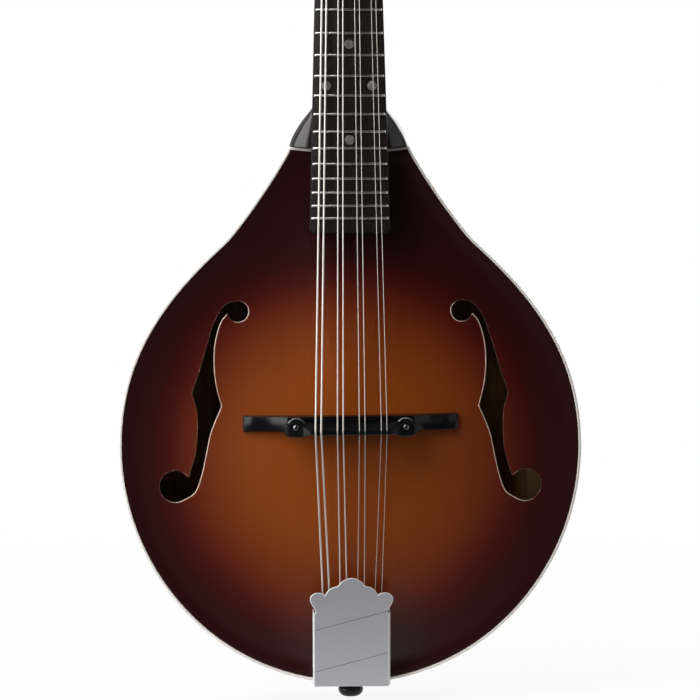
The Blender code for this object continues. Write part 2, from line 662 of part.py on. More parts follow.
def build_tone_bars(bench, surface):
    """Two splayed bars glued under the soundboard, feathered at both ends."""
    stations = 9
    for name, side in (("treble", 1), ("bass", -1)):
        rings = []
        for i in range(stations):
            t = i / (stations - 1)
            x = side * (TONE_BAR_OUT_START + (TONE_BAR_OUT_END - TONE_BAR_OUT_START) * t)
            y = -TONE_BAR_START - (TONE_BAR_END - TONE_BAR_START) * t
            swell = math.sin(math.pi * t) ** TONE_BAR_FULLNESS
            depth = TONE_BAR_HEIGHT * (TONE_BAR_END_SHARE + (1 - TONE_BAR_END_SHARE) * swell)
            left, right = x - TONE_BAR_WIDTH / 2, x + TONE_BAR_WIDTH / 2
            tops = [surface.inner(edge, y) - 1.5 * CLEARANCE for edge in (left, right)]
            rings.append([(left, y, tops[0]), (left, y, tops[0] - depth),
                          (right, y, tops[1] - depth), (right, y, tops[1])])
        bm = bmesh.new()
        loft(bm, rings)
        finish_object("tone_bar_" + name, bm, bench, RAW_SPRUCE)


def board_half_width(along):
    """Half the fingerboard's width at a distance from the joint toward the nut."""
    from_nut = (NUT_TO_JOINT - along) / BOARD_LENGTH
    return (NUT_WIDTH + (BOARD_END_WIDTH - NUT_WIDTH) * from_nut) / 2


def fret_place(number):
    """A fret's place in the neck frame."""
    return NUT_TO_JOINT - SCALE_LENGTH * (1 - 2 ** (-number / 12))


def build_fingerboard(neck):
    """The board with its frets seated in it, as one length of profile."""
    end = NUT_TO_JOINT - BOARD_LENGTH
    top = [(NUT_TO_JOINT - CLEARANCE, 0.0)]
    for number in range(1, FRETS + 1):
        place = fret_place(number)
        for share, height in FRET_CROWN:
            top.append((place + share * FRET_WIDTH, height * FRET_HEIGHT))
    rounding = [(end + BOARD_CORNER * along, share) for along, share in BOARD_END_ROUNDING]
    profile = [(along, height, 1.0) for along, height in top]
    profile += [(along, 0.0, share) for along, share in rounding]
    profile += [(along, -BOARD_THICKNESS, share) for along, share in reversed(rounding)]
    profile.append((NUT_TO_JOINT - CLEARANCE, -BOARD_THICKNESS, 1.0))
    rings = [[(side * share * board_half_width(along), along, height) for along, height, share in profile]
             for side in (-1, 1)]
    bm = bmesh.new()
    loft(bm, rings)
    finish_object("fingerboard", bm, neck, ROSEWOOD)


def build_riser(bench, surface):
    """The wedge that carries the end of the fingerboard over the soundboard."""
    end = NUT_TO_JOINT - BOARD_LENGTH + BOARD_CORNER
    stations = 9
    rings = []
    for i in range(stations):
        y = -CLEARANCE + (end + CLEARANCE) * i / (stations - 1)
        along = y / math.cos(NECK_PITCH)
        half = board_half_width(along) - RISER_INSET
        board_bottom = BOARD_HEIGHT_AT_JOINT - (BOARD_THICKNESS + CLEARANCE) / math.cos(NECK_PITCH)
        top = board_bottom - y * math.tan(NECK_PITCH)
        on_plate = min(y, -BINDING_WIDTH - 2 * CLEARANCE)
        below = [(x, y, max(surface.outer(x, on_plate), 0.0) + 1.5 * CLEARANCE)
                 for x in (half, half / 2, 0.0, -half / 2, -half)]
        rings.append([(-half, y, top), (half, y, top), *below])
    bm = bmesh.new()
    loft(bm, rings)
    finish_object("fingerboard_riser", bm, bench, EBONY)


def neck_section(along):
    """Half-widths and heights of the neck and heel at a distance from the joint, top to bottom."""
    reach = min(max(along / HEEL_REACH, 0.0), 1.0)
    cheek = 1 - reach ** CHEEK_FALL
    sweep = max(1 - max(along, 0.0) / HEEL_SWEEP, 0.0) ** SWEEP_FALL
    share = min(max(along / NUT_TO_JOINT, 0.0), 1.0)
    shaft_depth = NECK_DEPTH_AT_HEEL + (NECK_DEPTH_AT_NUT - NECK_DEPTH_AT_HEEL) * share
    heel_depth = BOARD_HEIGHT_AT_JOINT + WOOD_TOP - BACK_INNER + PLATE_EDGE
    depth = shaft_depth + (heel_depth - shaft_depth) * sweep
    rows = []
    for row, wide in HEEL_ROWS:
        shaft = board_half_width(along) * max(1 - row ** SHAFT_FULLNESS[0], 0.0) ** SHAFT_FULLNESS[1]
        heel = max(NECK_END_WIDTH * wide, HEEL_TIP_WIDTH) / 2 if row else board_half_width(along)
        half = shaft + (heel - shaft) * cheek
        rows.append((max(half, NUT_WIDTH / 20), -row * depth))
    return rows


def neck_ring(along, top, rows):
    """One closed section of the neck from its half-widths."""
    right = [(half, along, top + drop) for half, drop in rows]
    left = [(-half, along, top + drop) for half, drop in reversed(rows)]
    return right + left


def head_outline():
    """The headstock's outline with its shallow double-curved crest."""
    sides = smooth_through(HEAD_OUTLINE, 2)
    crest = smooth_through(HEAD_CREST, 2)[1:]
    return mirrored_outline(sides + crest)


def post_places():
    """Each tuning post's place on the headstock, bass side then treble side, nut end first."""
    return [(side * POST_OUT, POST_FIRST + POST_SPACING * i) for side in (-1, 1) for i in range(4)]


def build_neck(bench, neck, head):
    """Neck, heel, dovetail and headstock: one piece of wood, bored and pocketed."""
    stations = (*HEEL_STATIONS, *SHAFT_STATIONS, NUT_TO_JOINT, NUT_BACK)
    rings = [neck_ring(along, WOOD_TOP, neck_section(along)) for along in stations]
    for past, narrow, lower in HEAD_BLEND:
        rows = neck_section(NUT_BACK)
        keep = 1 + lower / rows[-1][1] * HEAD_BLEND_RISE
        rows = [(half * narrow, drop * keep) for half, drop in rows]
        rings.append(neck_ring(NUT_BACK + past, WOOD_TOP - lower, rows))
    bm = bmesh.new()
    loft(bm, rings)
    wood = finish_object("neck", bm, neck, BLACK_LACQUER)

    joint = bmesh.new()
    block(joint, (-NECK_END_WIDTH, -NECK_END_WIDTH, -RIB_HEIGHT * 3), (NECK_END_WIDTH, CLEARANCE, RIB_HEIGHT))
    combine(wood, finish_object("joint_cutter", joint, bench), "DIFFERENCE")
    under = bmesh.new()
    block(under, (-NECK_END_WIDTH, -NECK_END_WIDTH, -RIB_HEIGHT * 4),
          (NECK_END_WIDTH, NECK_END_WIDTH, BACK_INNER + CLEARANCE))
    combine(wood, finish_object("heel_foot_cutter", under, bench), "DIFFERENCE")
    tenon = bmesh.new()
    prism(tenon, tenon_outline(0.0), RIB_TOP - TENON_HEIGHT, RIB_TOP)
    combine(wood, finish_object("tenon_guide", tenon, bench), "UNION")

    slab = bmesh.new()
    prism(slab, head_outline(), HEAD_BACK, HEAD_TOP)
    combine(wood, finish_object("head_guide", slab, head), "UNION")

    holes = bmesh.new()
    for x, y in post_places():
        drum(holes, (x, y, 0), POST_RADIUS + POST_HOLE_SPARE, HEAD_BACK * 2, POST_TOP,
             sides=POST_SIDES)
    post_cutter = finish_object("post_hole_cutter", holes, head)
    combine(wood, post_cutter, "DIFFERENCE")

    pocket = bmesh.new()
    low = -ROD_DEPTH - ROD_NUT_RADIUS - 2 * CLEARANCE
    block(pocket, (-ROD_POCKET_WIDTH / 2, NUT_BACK + 4 * CLEARANCE, low),
          (ROD_POCKET_WIDTH / 2, NUT_BACK + ROD_POCKET_LENGTH, HEAD_THICKNESS))
    pocket_cutter = finish_object("rod_pocket_cutter", pocket, neck)
    combine(wood, pocket_cutter, "DIFFERENCE")
    channel = bmesh.new()
    drum(channel, (0, 0, -ROD_DEPTH), ROD_RADIUS + CLEARANCE, ROD_START, NUT_BACK + 5 * CLEARANCE, "Y",
         SMALL_SIDES)
    combine(wood, finish_object("rod_channel_cutter", channel, neck), "DIFFERENCE")

    bm = bmesh.new()
    prism(bm, head_outline(), OVERLAY_BOTTOM, 0.0)
    overlay = finish_object("headstock_overlay", bm, head, BLACK_LACQUER)
    combine(overlay, post_cutter, "DIFFERENCE")
    combine(overlay, pocket_cutter, "DIFFERENCE")


def build_truss_rod(neck, head):
    """The rod in its channel, the nut that tightens it and the plate that covers the pocket."""
    nut_start = NUT_BACK + 8 * CLEARANCE
    rod_end = nut_start + ROD_NUT_LENGTH / 2
    along = (-math.pi / 2, 0, 0)
    bm = bmesh.new()
    turned(bm, [(ROD_RADIUS, 0.0), (ROD_RADIUS, rod_end - ROD_START - CLEARANCE)], SMALL_SIDES)
    finish_object("truss_rod", bm, neck, STEEL, (0, ROD_START + CLEARANCE, -ROD_DEPTH), along)

    bm = bmesh.new()
    turned(bm, [(ROD_NUT_RADIUS, 0.0), (ROD_NUT_RADIUS, ROD_NUT_LENGTH)], 6)
    nut = finish_object("truss_rod_nut", bm, neck, BRASS, (0, nut_start, -ROD_DEPTH), along)
    bore = bmesh.new()
    drum(bore, (0, 0, -ROD_DEPTH), ROD_RADIUS + CLEARANCE, nut_start - ROD_NUT_LENGTH,
         rod_end + CLEARANCE, "Y", SMALL_SIDES)
    combine(nut, finish_object("rod_nut_cutter", bore, neck), "DIFFERENCE")

    bm = bmesh.new()
    outline = mirrored_outline(smooth_through(COVER_PLATE_OUTLINE, 2))
    prism(bm, outline, CLEARANCE, CLEARANCE + COVER_PLATE_THICKNESS)
    finish_object("truss_rod_cover", bm, head, BLACK_LACQUER)


def string_places(course_step, pair_step):
    """Across-the-neck places of the eight strings from the spacing of courses and of pairs."""
    return [course * course_step + half * pair_step for course in (-1.5, -0.5, 0.5, 1.5) for half in (-0.5, 0.5)]


def string_sizes():
    """Each string's diameter, bass to treble."""
    return [diameter for diameter in COURSE_DIAMETERS for _ in range(2)]


def crest_stations(places, diameters, half_length, top, slot):
    """Places and heights along a slotted crest, left to right."""
    stations = [(-half_length, top)]
    for place, diameter in zip(places, diameters):
        wide = diameter / 2 + SLOT_SIDE
        floor = top - slot
        flat = wide * SLOT_FLOOR_SHARE
        stations += [(place - wide, top), (place - flat, floor), (place + flat, floor), (place + wide, top)]
    stations.append((half_length, top))
    return stations


def build_nut(neck):
    """The string nut on its ledge at the end of the fingerboard."""
    places = string_places(COURSE_AT_NUT, PAIR_AT_NUT)
    wires = string_sizes()
    slot = NUT_HEIGHT - STRING_OVER_NUT_PLANE + max(wires) / 2 + CLEARANCE
    stations = crest_stations(places, wires, NUT_WIDTH / 2, NUT_HEIGHT, slot)
    profile = stations + [(NUT_WIDTH / 2, -BOARD_THICKNESS), (-NUT_WIDTH / 2, -BOARD_THICKNESS)]
    rings = [[(x, along, height) for x, height in profile] for along in (NUT_TO_JOINT, NUT_BACK)]
    bm = bmesh.new()
    loft(bm, rings)
    finish_object("nut", bm, neck, BONE)


def saddle_point():
    """Where the strings' middle line crosses the saddle, in the bench frame."""
    return NECK_FRAME @ Vector((0, NUT_TO_JOINT - SCALE_LENGTH, STRING_OVER_SADDLE_PLANE))


def bridge_levels():
    """Heights of the bridge's stack in the bench frame, from the strings down."""
    crest = saddle_point().z
    saddle_bottom = crest - SADDLE_HEIGHT
    wheel_top = saddle_bottom - CLEARANCE
    wheel_bottom = wheel_top - WHEEL_THICKNESS
    platform = wheel_bottom - WHEEL_LIFT
    return crest, saddle_bottom, wheel_top, wheel_bottom, platform


def between(start, end, steps):
    """Evenly spaced places after start, the end included."""
    return [start + (end - start) * i / steps for i in range(1, steps + 1)]


def bridge_base_top(reach, platform, surface, x, y):
    """Height of the base's upper face: flat platform, slope, then a foot that thins to its nose."""
    half = BRIDGE_LENGTH / 2
    if reach <= PLATFORM_END:
        return platform
    if reach <= FOOT_INNER_END:
        share = (reach - PLATFORM_END) / (FOOT_INNER_END - PLATFORM_END)
        foot = surface.outer(math.copysign(FOOT_INNER_END, x), y) + FOOT_HEIGHT + FOOT_RISE
        return platform + (foot - platform) * share
    share = (half - reach) / (half - FOOT_INNER_END)
    nose = BRIDGE_NOSE_DROP if reach > half - BRIDGE_NOSE_LENGTH / 2 else 0.0
    return surface.outer(x, y) + FOOT_HEIGHT + FOOT_RISE * share - nose


def build_bridge_base(bench, surface, drill):
    """The base, its feet fitted to the arch of the soundboard."""
    y = saddle_point().y
    platform = bridge_levels()[4]
    half = BRIDGE_LENGTH / 2
    places = [ARCH_HALF_SPAN * share for share in ARCH_SHARES] + between(ARCH_HALF_SPAN, PLATFORM_END, 4)
    places += between(PLATFORM_END, FOOT_INNER_END, 2)
    places += between(FOOT_INNER_END, half - BRIDGE_NOSE_LENGTH, 4) + [half]
    deep, slim = BRIDGE_DEPTH / 2, BRIDGE_TOP_DEPTH / 2
    rings = []
    for x in [-place for place in reversed(places[1:])] + places:
        reach = abs(x)
        lift = ARCH_RISE * math.sqrt(max(1 - (reach / ARCH_HALF_SPAN) ** 2, 0.0))
        top = bridge_base_top(reach, platform, surface, x, y)
        under = [surface.outer(x, y + edge) + 1.4 * CLEARANCE + lift for edge in (-deep, deep)]
        rings.append([(x, y - deep, under[0]), (x, y - slim, top), (x, y + slim, top), (x, y + deep, under[1])])
    bm = bmesh.new()
    loft(bm, rings)
    combine(finish_object("bridge_base", bm, bench, EBONY), drill, "DIFFERENCE")


def build_saddle(bench, drill):
    """The saddle: slotted for the strings, lower and rounded where the studs come through."""
    y = saddle_point().y
    crest, saddle_bottom = bridge_levels()[:2]
    places = string_places(COURSE_AT_SADDLE, PAIR_AT_SADDLE)
    wires = string_sizes()
    half = SADDLE_LENGTH / 2
    top = crest + SLOT_DEPTH
    slot = max(wires) / 2 + CLEARANCE + SLOT_DEPTH
    stations = crest_stations(places, wires, half, top, slot)[1:-1]
    end = saddle_bottom + SADDLE_END_HEIGHT
    ends = [(places[-1] + SADDLE_CREST_SPARE, top),
            (WHEEL_OUT - STUD_RADIUS - SADDLE_STEP_SPARE, end + SADDLE_STEP),
            (half - SADDLE_NOSE_LENGTH, saddle_bottom + SADDLE_END_HEIGHT * SADDLE_NOSE_SHARES[0]),
            (half, saddle_bottom + SADDLE_END_HEIGHT * SADDLE_NOSE_SHARES[1])]
    stations = [(-x, z) for x, z in reversed(ends)] + stations + ends
    deep = SADDLE_DEPTH / 2
    rings = []
    for x, z in stations:
        share = max((z - saddle_bottom) / SADDLE_HEIGHT - SADDLE_TAPER_FROM, 0.0) / (1 - SADDLE_TAPER_FROM)
        slim = (SADDLE_DEPTH + (SADDLE_TOP_DEPTH - SADDLE_DEPTH) * min(share, 1.0)) / 2
        rings.append([(x, y - deep, saddle_bottom), (x, y - slim, z), (x, y + slim, z),
                      (x, y + deep, saddle_bottom)])
    bm = bmesh.new()
    loft(bm, rings)
    combine(finish_object("bridge_saddle", bm, bench, EBONY), drill, "DIFFERENCE")


def build_bridge(bench, surface):
    """Base, studs, thumbwheels and the saddle they lift."""
    y = saddle_point().y
    crest, saddle_bottom, wheel_bottom, platform = (bridge_levels()[i] for i in (0, 1, 3, 4))
    drills = bmesh.new()
    for side in (-1, 1):
        drum(drills, (side * WHEEL_OUT, y, 0), STUD_RADIUS + CLEARANCE, platform - STUD_IN_BASE - CLEARANCE,
             crest + SADDLE_HEIGHT, sides=12)
    drill = finish_object("stud_hole_cutter", drills, bench)
    build_bridge_base(bench, surface, drill)
    build_saddle(bench, drill)

    stud_low = platform - STUD_IN_BASE
    stud_length = saddle_bottom + SADDLE_END_HEIGHT - stud_low
    for name, side in (("bass", -1), ("treble", 1)):
        bm = bmesh.new()
        turned(bm, [(STUD_RADIUS, 0.0), (STUD_RADIUS, stud_length - STUD_CHAMFER),
                    (STUD_RADIUS * STUD_TIP_SHARE, stud_length)], SMALL_SIDES)
        finish_object("bridge_stud_" + name, bm, bench, STEEL, (side * WHEEL_OUT, y, stud_low))
        bm = bmesh.new()
        build_thumbwheel(bm)
        finish_object("thumbwheel_" + name, bm, bench, NICKEL, (side * WHEEL_OUT, y, wheel_bottom))


def build_thumbwheel(bm):
    """A coarse-knurled wheel with a bore for its stud, standing on z = 0."""
    count = 2 * WHEEL_TEETH
    bore = STUD_RADIUS + CLEARANCE

    def ring(radius_even, radius_odd, height):
        return [((radius_odd if i % 2 else radius_even) * math.cos(2 * math.pi * i / count),
                 (radius_odd if i % 2 else radius_even) * math.sin(2 * math.pi * i / count), height)
                for i in range(count)]

    crest, valley = WHEEL_RADIUS, WHEEL_RADIUS - WHEEL_TOOTH_DEPTH
    rings = [ring(bore, bore, 0.0), ring(crest, valley, 0.0), ring(crest, valley, WHEEL_THICKNESS),
             ring(bore, bore, WHEEL_THICKNESS)]
    loft(bm, rings, looped=True)


def tail_frame_matrix():
    """The tailpiece's own plane: y from the tail toward the bridge, z out of its face."""
    return Matrix.Translation((0, -BODY_LENGTH, TAIL_PLANE_LIFT)) @ Matrix.Rotation(TAIL_PLANE_TILT, 4, "X")


def build_tailpiece(bench, tail, pin_cutter):
    """Bent base with its hooks, and the cover that slides over them."""
    half = COVER_WIDTH / 2 - COVER_SHEET - CLEARANCE
    bm = bmesh.new()
    block(bm, (-half, 0.0, -TAIL_SHEET), (half, TAIL_BASE_LENGTH, 0.0))
    base = finish_object("tailpiece_base", bm, tail, STEEL)
    lip = bmesh.new()
    bend_half, lip_half = half * TAIL_BEND_SHARE, TAIL_LIP_WIDTH / 2
    outside = -BODY_LENGTH - TAIL_SHEET - CLEARANCE
    lip_edge = [(0.0, -TAIL_LIP_LENGTH), (lip_half / 2, -TAIL_LIP_LENGTH),
                (lip_half, TAIL_LIP_TOE - TAIL_LIP_LENGTH), (lip_half, -TAIL_LIP_SHOULDERS[1]),
                (bend_half, -TAIL_LIP_SHOULDERS[0]), (bend_half, TAIL_PLANE_LIFT), (0.0, TAIL_PLANE_LIFT)]
    faces = (outside, outside + TAIL_SHEET)
    loft(lip, [[(x, y, z) for x, z in mirrored_outline(lip_edge)] for y in faces])
    combine(base, finish_object("tail_lip_guide", lip, bench), "UNION")
    bend = bmesh.new()
    bend_edge = [(outside + inward, TAIL_PLANE_LIFT + above) for inward, above in TAIL_BEND_PROFILE]
    loft(bend, [[(x, y, z) for y, z in bend_edge] for x in (-bend_half, bend_half)])
    combine(base, finish_object("tail_bend_guide", bend, bench), "UNION")

    hooks = bmesh.new()
    stem, over = HOOK_FROM_TAIL, HOOK_HEIGHT + HOOK_STEM
    profile = [(stem, -TAIL_SHEET / 2), (stem, over), (stem - HOOK_REACH, over), (stem - HOOK_REACH, HOOK_HEIGHT),
               (stem - HOOK_STEM, HOOK_HEIGHT), (stem - HOOK_STEM, -TAIL_SHEET / 2)]
    for x in string_places(COURSE_AT_HOOKS, PAIR_AT_HOOKS):
        loft(hooks, [[(x + side * HOOK_WIDTH / 2, y, z) for y, z in profile] for side in (-1, 1)])
    combine(base, finish_object("hook_guide", hooks, tail), "UNION")
    combine(base, pin_cutter, "DIFFERENCE")

    bm = bmesh.new()
    crown = COVER_HEADROOM + COVER_SHEET
    wall = COVER_WIDTH / 2
    outline = [(0.0, COVER_START), (wall, COVER_START), (wall, COVER_WALL_END)]
    outline += smooth_through(COVER_SHOULDERS) + smooth_through(COVER_CREST)
    prism(bm, mirrored_outline(outline), COVER_HEADROOM, crown)
    cover = finish_object("tailpiece_cover", bm, tail, NICKEL)
    walls = bmesh.new()
    for side in (-1, 1):
        xs = sorted((side * wall, side * (wall - COVER_SHEET)))
        block(walls, (xs[0], COVER_START, -COVER_WALL_DROP), (xs[1], COVER_WALL_END, crown))
    combine(cover, finish_object("cover_wall_guide", walls, tail), "UNION")


def pin_level():
    """Height of the end pin's axis: the middle of the ribs."""
    return (RIB_TOP + RIB_BOTTOM) / 2


def build_end_pin(bench):
    """The strap pin in the tail block, through the tailpiece's lip."""
    flange = 2 * CLEARANCE + TAIL_SHEET
    profile = [(PIN_RADIUS * PIN_TAPER, -PIN_IN_BLOCK), (PIN_RADIUS, -PIN_IN_BLOCK * PIN_TAPER),
               (PIN_RADIUS, flange)]
    profile += [(PIN_FLANGE_RADIUS * wide, flange + PIN_STAND * out) for wide, out in PIN_BUTTON]
    bm = bmesh.new()
    turned(bm, profile)
    finish_object("end_pin", bm, bench, EBONY, (0, -BODY_LENGTH, pin_level()), (math.pi / 2, 0, 0))


def make_pin_cutter(bench):
    """The hole the end pin goes through."""
    bm = bmesh.new()
    drum(bm, (0, -BODY_LENGTH, pin_level()), PIN_RADIUS + CLEARANCE, -PIN_STAND, PIN_IN_BLOCK + CLEARANCE, "Y")
    return finish_object("pin_hole_cutter", bm, bench)


def build_tuner_plate(head, name, side):
    """One side's plate on the back of the headstock, with two ears for each worm shaft."""
    length = 3 * POST_SPACING + 2 * TUNER_PLATE_MARGIN
    middle = POST_FIRST + 1.5 * POST_SPACING
    half = TUNER_PLATE_WIDTH / 2
    corner = TUNER_PLATE_CORNER
    ys = (middle - length / 2, middle + length / 2)
    outline = [(-half + corner, ys[0]), (half - corner, ys[0]), (half, ys[0] + corner), (half, ys[1] - corner),
               (half - corner, ys[1]), (-half + corner, ys[1]), (-half, ys[1] - corner), (-half, ys[0] + corner)]
    bm = bmesh.new()
    prism(bm, [(side * POST_OUT + x, y) for x, y in outline], PLATE_BACK, PLATE_FACE)
    plate = finish_object("tuner_plate_" + name, bm, head, NICKEL)
    ears, bores = bmesh.new(), bmesh.new()
    ear_low = GEAR_LEVEL - EAR_WIDTH / 2 + EAR_TIP_SHORT
    ear_root = PLATE_BACK + TUNER_PLATE_THICKNESS / 2
    root, tip = EAR_WIDTH / 2, EAR_WIDTH / 2 * EAR_TIP_SHARE
    for i in range(4):
        post = POST_FIRST + POST_SPACING * i
        y = post - CENTRE_DISTANCE
        drum(bores, (side * POST_OUT, post, 0), POST_RADIUS + CLEARANCE, PLATE_BACK * 2, 0.0, sides=POST_SIDES)
        profile = [(y - root, ear_root), (y + root, ear_root), (y + tip, ear_low), (y - tip, ear_low)]
        for way in (-1, 1):
            near = side * POST_OUT + way * (WORM_HALF_LENGTH + CLEARANCE)
            far = near + way * EAR_THICKNESS
            loft(ears, [[(x, along, z) for along, z in profile] for x in sorted((near, far))])
    combine(plate, finish_object("ears_guide_" + name, ears, head), "UNION")
    shafts = bmesh.new()
    reach = WORM_HALF_LENGTH + 2 * CLEARANCE + 2 * EAR_THICKNESS
    for i in range(4):
        y = POST_FIRST + POST_SPACING * i - CENTRE_DISTANCE
        drum(shafts, (side * POST_OUT, y, GEAR_LEVEL), WORM_SHAFT_RADIUS + CLEARANCE, -reach, reach, "X",
             SMALL_SIDES)
    combine(plate, finish_object("post_bore_cutter_" + name, bores, head), "DIFFERENCE")
    combine(plate, finish_object("shaft_bore_cutter_" + name, shafts, head), "DIFFERENCE")


def worm_profile():
    """One pitch of the thread as (share of a pitch, radius), crest in the middle."""
    root = WORM_PITCH_RADIUS - TOOTH_DEDENDUM + WORM_ROOT_SPARE
    half_tip, half_root = TOOTH_TIP_THICKNESS / 2 / WORM_PITCH, TOOTH_ROOT_THICKNESS / 2 / WORM_PITCH
    return ((-half_root, root), (-half_tip, WORM_TIP_RADIUS), (half_tip, WORM_TIP_RADIUS), (half_root, root))


def build_worm(bm):
    """Worm, shaft and knob as one turned piece about z, thread crest at +x in the middle."""
    sides = SMALL_SIDES
    profile = worm_profile()
    root = profile[0][1]
    turns = math.ceil(WORM_HALF_LENGTH / WORM_PITCH) + 2
    limit = WORM_HALF_LENGTH - CLEARANCE

    def grid_point(row, i):
        lap, slot = divmod(row, len(profile))
        share, radius = profile[slot]
        angle = 2 * math.pi * i / sides
        along = WORM_PITCH * (lap + share + i / sides)
        if abs(along) > limit:
            along, radius = math.copysign(limit, along), root
        return Vector((radius * math.cos(angle), radius * math.sin(angle), along))

    rows = range(-turns * len(profile), turns * len(profile))
    grid = {(row, i): bm.verts.new(grid_point(row, i)) for row in rows for i in range(sides)}
    for row in rows:
        for i in range(sides):
            after = (row, i + 1) if i + 1 < sides else (row + len(profile), 0)
            above = (after[0] + 1, after[1])
            corners = [(row, i), after, above, (row + 1, i)]
            if all(corner in grid for corner in corners):
                bm.faces.new([grid[corner] for corner in corners])
    bmesh.ops.remove_doubles(bm, verts=bm.verts, dist=1e-7)
    bmesh.ops.dissolve_degenerate(bm, dist=1e-7, edges=bm.edges)
    ends = {}
    for vert in bm.verts:
        if abs(abs(vert.co.z) - limit) < 1e-6 and abs(vert.co.xy.length - root) < 1e-6:
            ends.setdefault(vert.co.z > 0, []).append(vert)
    for top, verts in ends.items():
        verts.sort(key=lambda v: math.atan2(v.co.y, v.co.x))
        ring = [verts]
        stub = WORM_HALF_LENGTH + CLEARANCE + EAR_THICKNESS + 2 * CLEARANCE
        steps = [(WORM_SHAFT_RADIUS, WORM_SHAFT_RADIUS, limit), (WORM_SHAFT_RADIUS, WORM_SHAFT_RADIUS, stub)]
        if top:
            steps[-1] = (WORM_SHAFT_RADIUS, WORM_SHAFT_RADIUS, KNOB_START)
            for share, wide, thick in KNOB_SECTIONS:
                steps.append((wide * KNOB_HALF_WIDTH, thick * KNOB_HALF_THICKNESS,
                              KNOB_START + share * KNOB_LENGTH))
        angles = [math.atan2(v.co.y, v.co.x) for v in verts]
        for wide, thick, height in steps:
            height = height if top else -height
            ring.append([bm.verts.new((wide * math.cos(a), thick * math.sin(a), height)) for a in angles])
        for near, far in zip(ring, ring[1:]):
            for i in range(len(near)):
                j = (i + 1) % len(near)
                bm.faces.new((near[i], near[j], far[j], far[i]))
        bm.faces.new(ring[-1])


def gear_outline(twist):
    """The worm gear's outline at one face; a gap faces -y at the middle of its width."""
    tip = GEAR_PITCH_RADIUS + TOOTH_ADDENDUM
    root = GEAR_PITCH_RADIUS - TOOTH_DEDENDUM
    half_tip, half_root = TOOTH_TIP_THICKNESS / 2 / tip, TOOTH_ROOT_THICKNESS / 2 / root
    points = []
    for tooth in range(GEAR_TEETH):
        middle = -math.pi / 2 + (tooth + 0.5) * 2 * math.pi / GEAR_TEETH + twist
        for angle, radius in ((-half_root, root), (-half_tip, tip), (half_tip, tip), (half_root, root)):
            points.append((radius * math.cos(middle + angle), radius * math.sin(middle + angle)))
    return points


def wrap_radius(diameter):
    """Radius of a wound string's middle line on its post."""
    return POST_WAIST_RADIUS + diameter / 2 + WRAP_CLEARANCE


def tangent_angle(post, target, radius, side):
    """Angle on the post where a string from target leaves it, on the post's inner side."""
    toward = Vector(target) - Vector(post)
    return math.atan2(toward.y, toward.x) - side * math.acos(radius / toward.length)


def sweep(bm, points, radius, sides=WIRE_SIDES):
    """A round wire along points, its rings square to its run."""
    rings = []
    lift = Vector((0, 0, 1))
    for i, point in enumerate(points):
        run = (points[min(i + 1, len(points) - 1)] - points[max(i - 1, 0)]).normalized()
        across = run.cross(lift).normalized()
        upward = across.cross(run)
        rings.append([point + (across * math.cos(a) + upward * math.sin(a)) * radius
                      for a in (2 * math.pi * (k + 0.5) / sides for k in range(sides))])
    loft(bm, rings)


def wrap_points(diameter, start, side):
    """The string's turns round its post, from where it arrives to where it enters the post."""
    radius = wrap_radius(diameter)
    pitch = diameter + WRAP_SPARE
    count = WRAP_TURNS * LOOP_POINTS
    points = []
    for i in range(count + 1):
        angle = start - side * 2 * math.pi * i / LOOP_POINTS
        height = WRAP_START + pitch * i / LOOP_POINTS
        points.append(Vector((radius * math.cos(angle), radius * math.sin(angle), height)))
    last = start - side * 2 * math.pi * (count + 1) / LOOP_POINTS
    inside = POST_WAIST_RADIUS * SLOT_FLOOR_SHARE
    points.append(Vector((inside * math.cos(last), inside * math.sin(last), height + pitch / LOOP_POINTS)))
    return points


def least_gap(points, diameter):
    """The least clear distance between turns of a winding, measured on its points."""
    least = 1.0
    for i, point in enumerate(points[:-1]):
        for other in points[i + LOOP_POINTS // 2:-1]:
            least = min(least, (point - other).length - diameter)
    return least


def nut_point(string):
    """Where a string's middle line leaves the nut, in the head frame."""
    x = string_places(COURSE_AT_NUT, PAIR_AT_NUT)[string]
    in_bench = NECK_FRAME @ Vector((x, NUT_BACK, STRING_OVER_NUT_PLANE))
    return HEAD_FRAME.inverted() @ in_bench


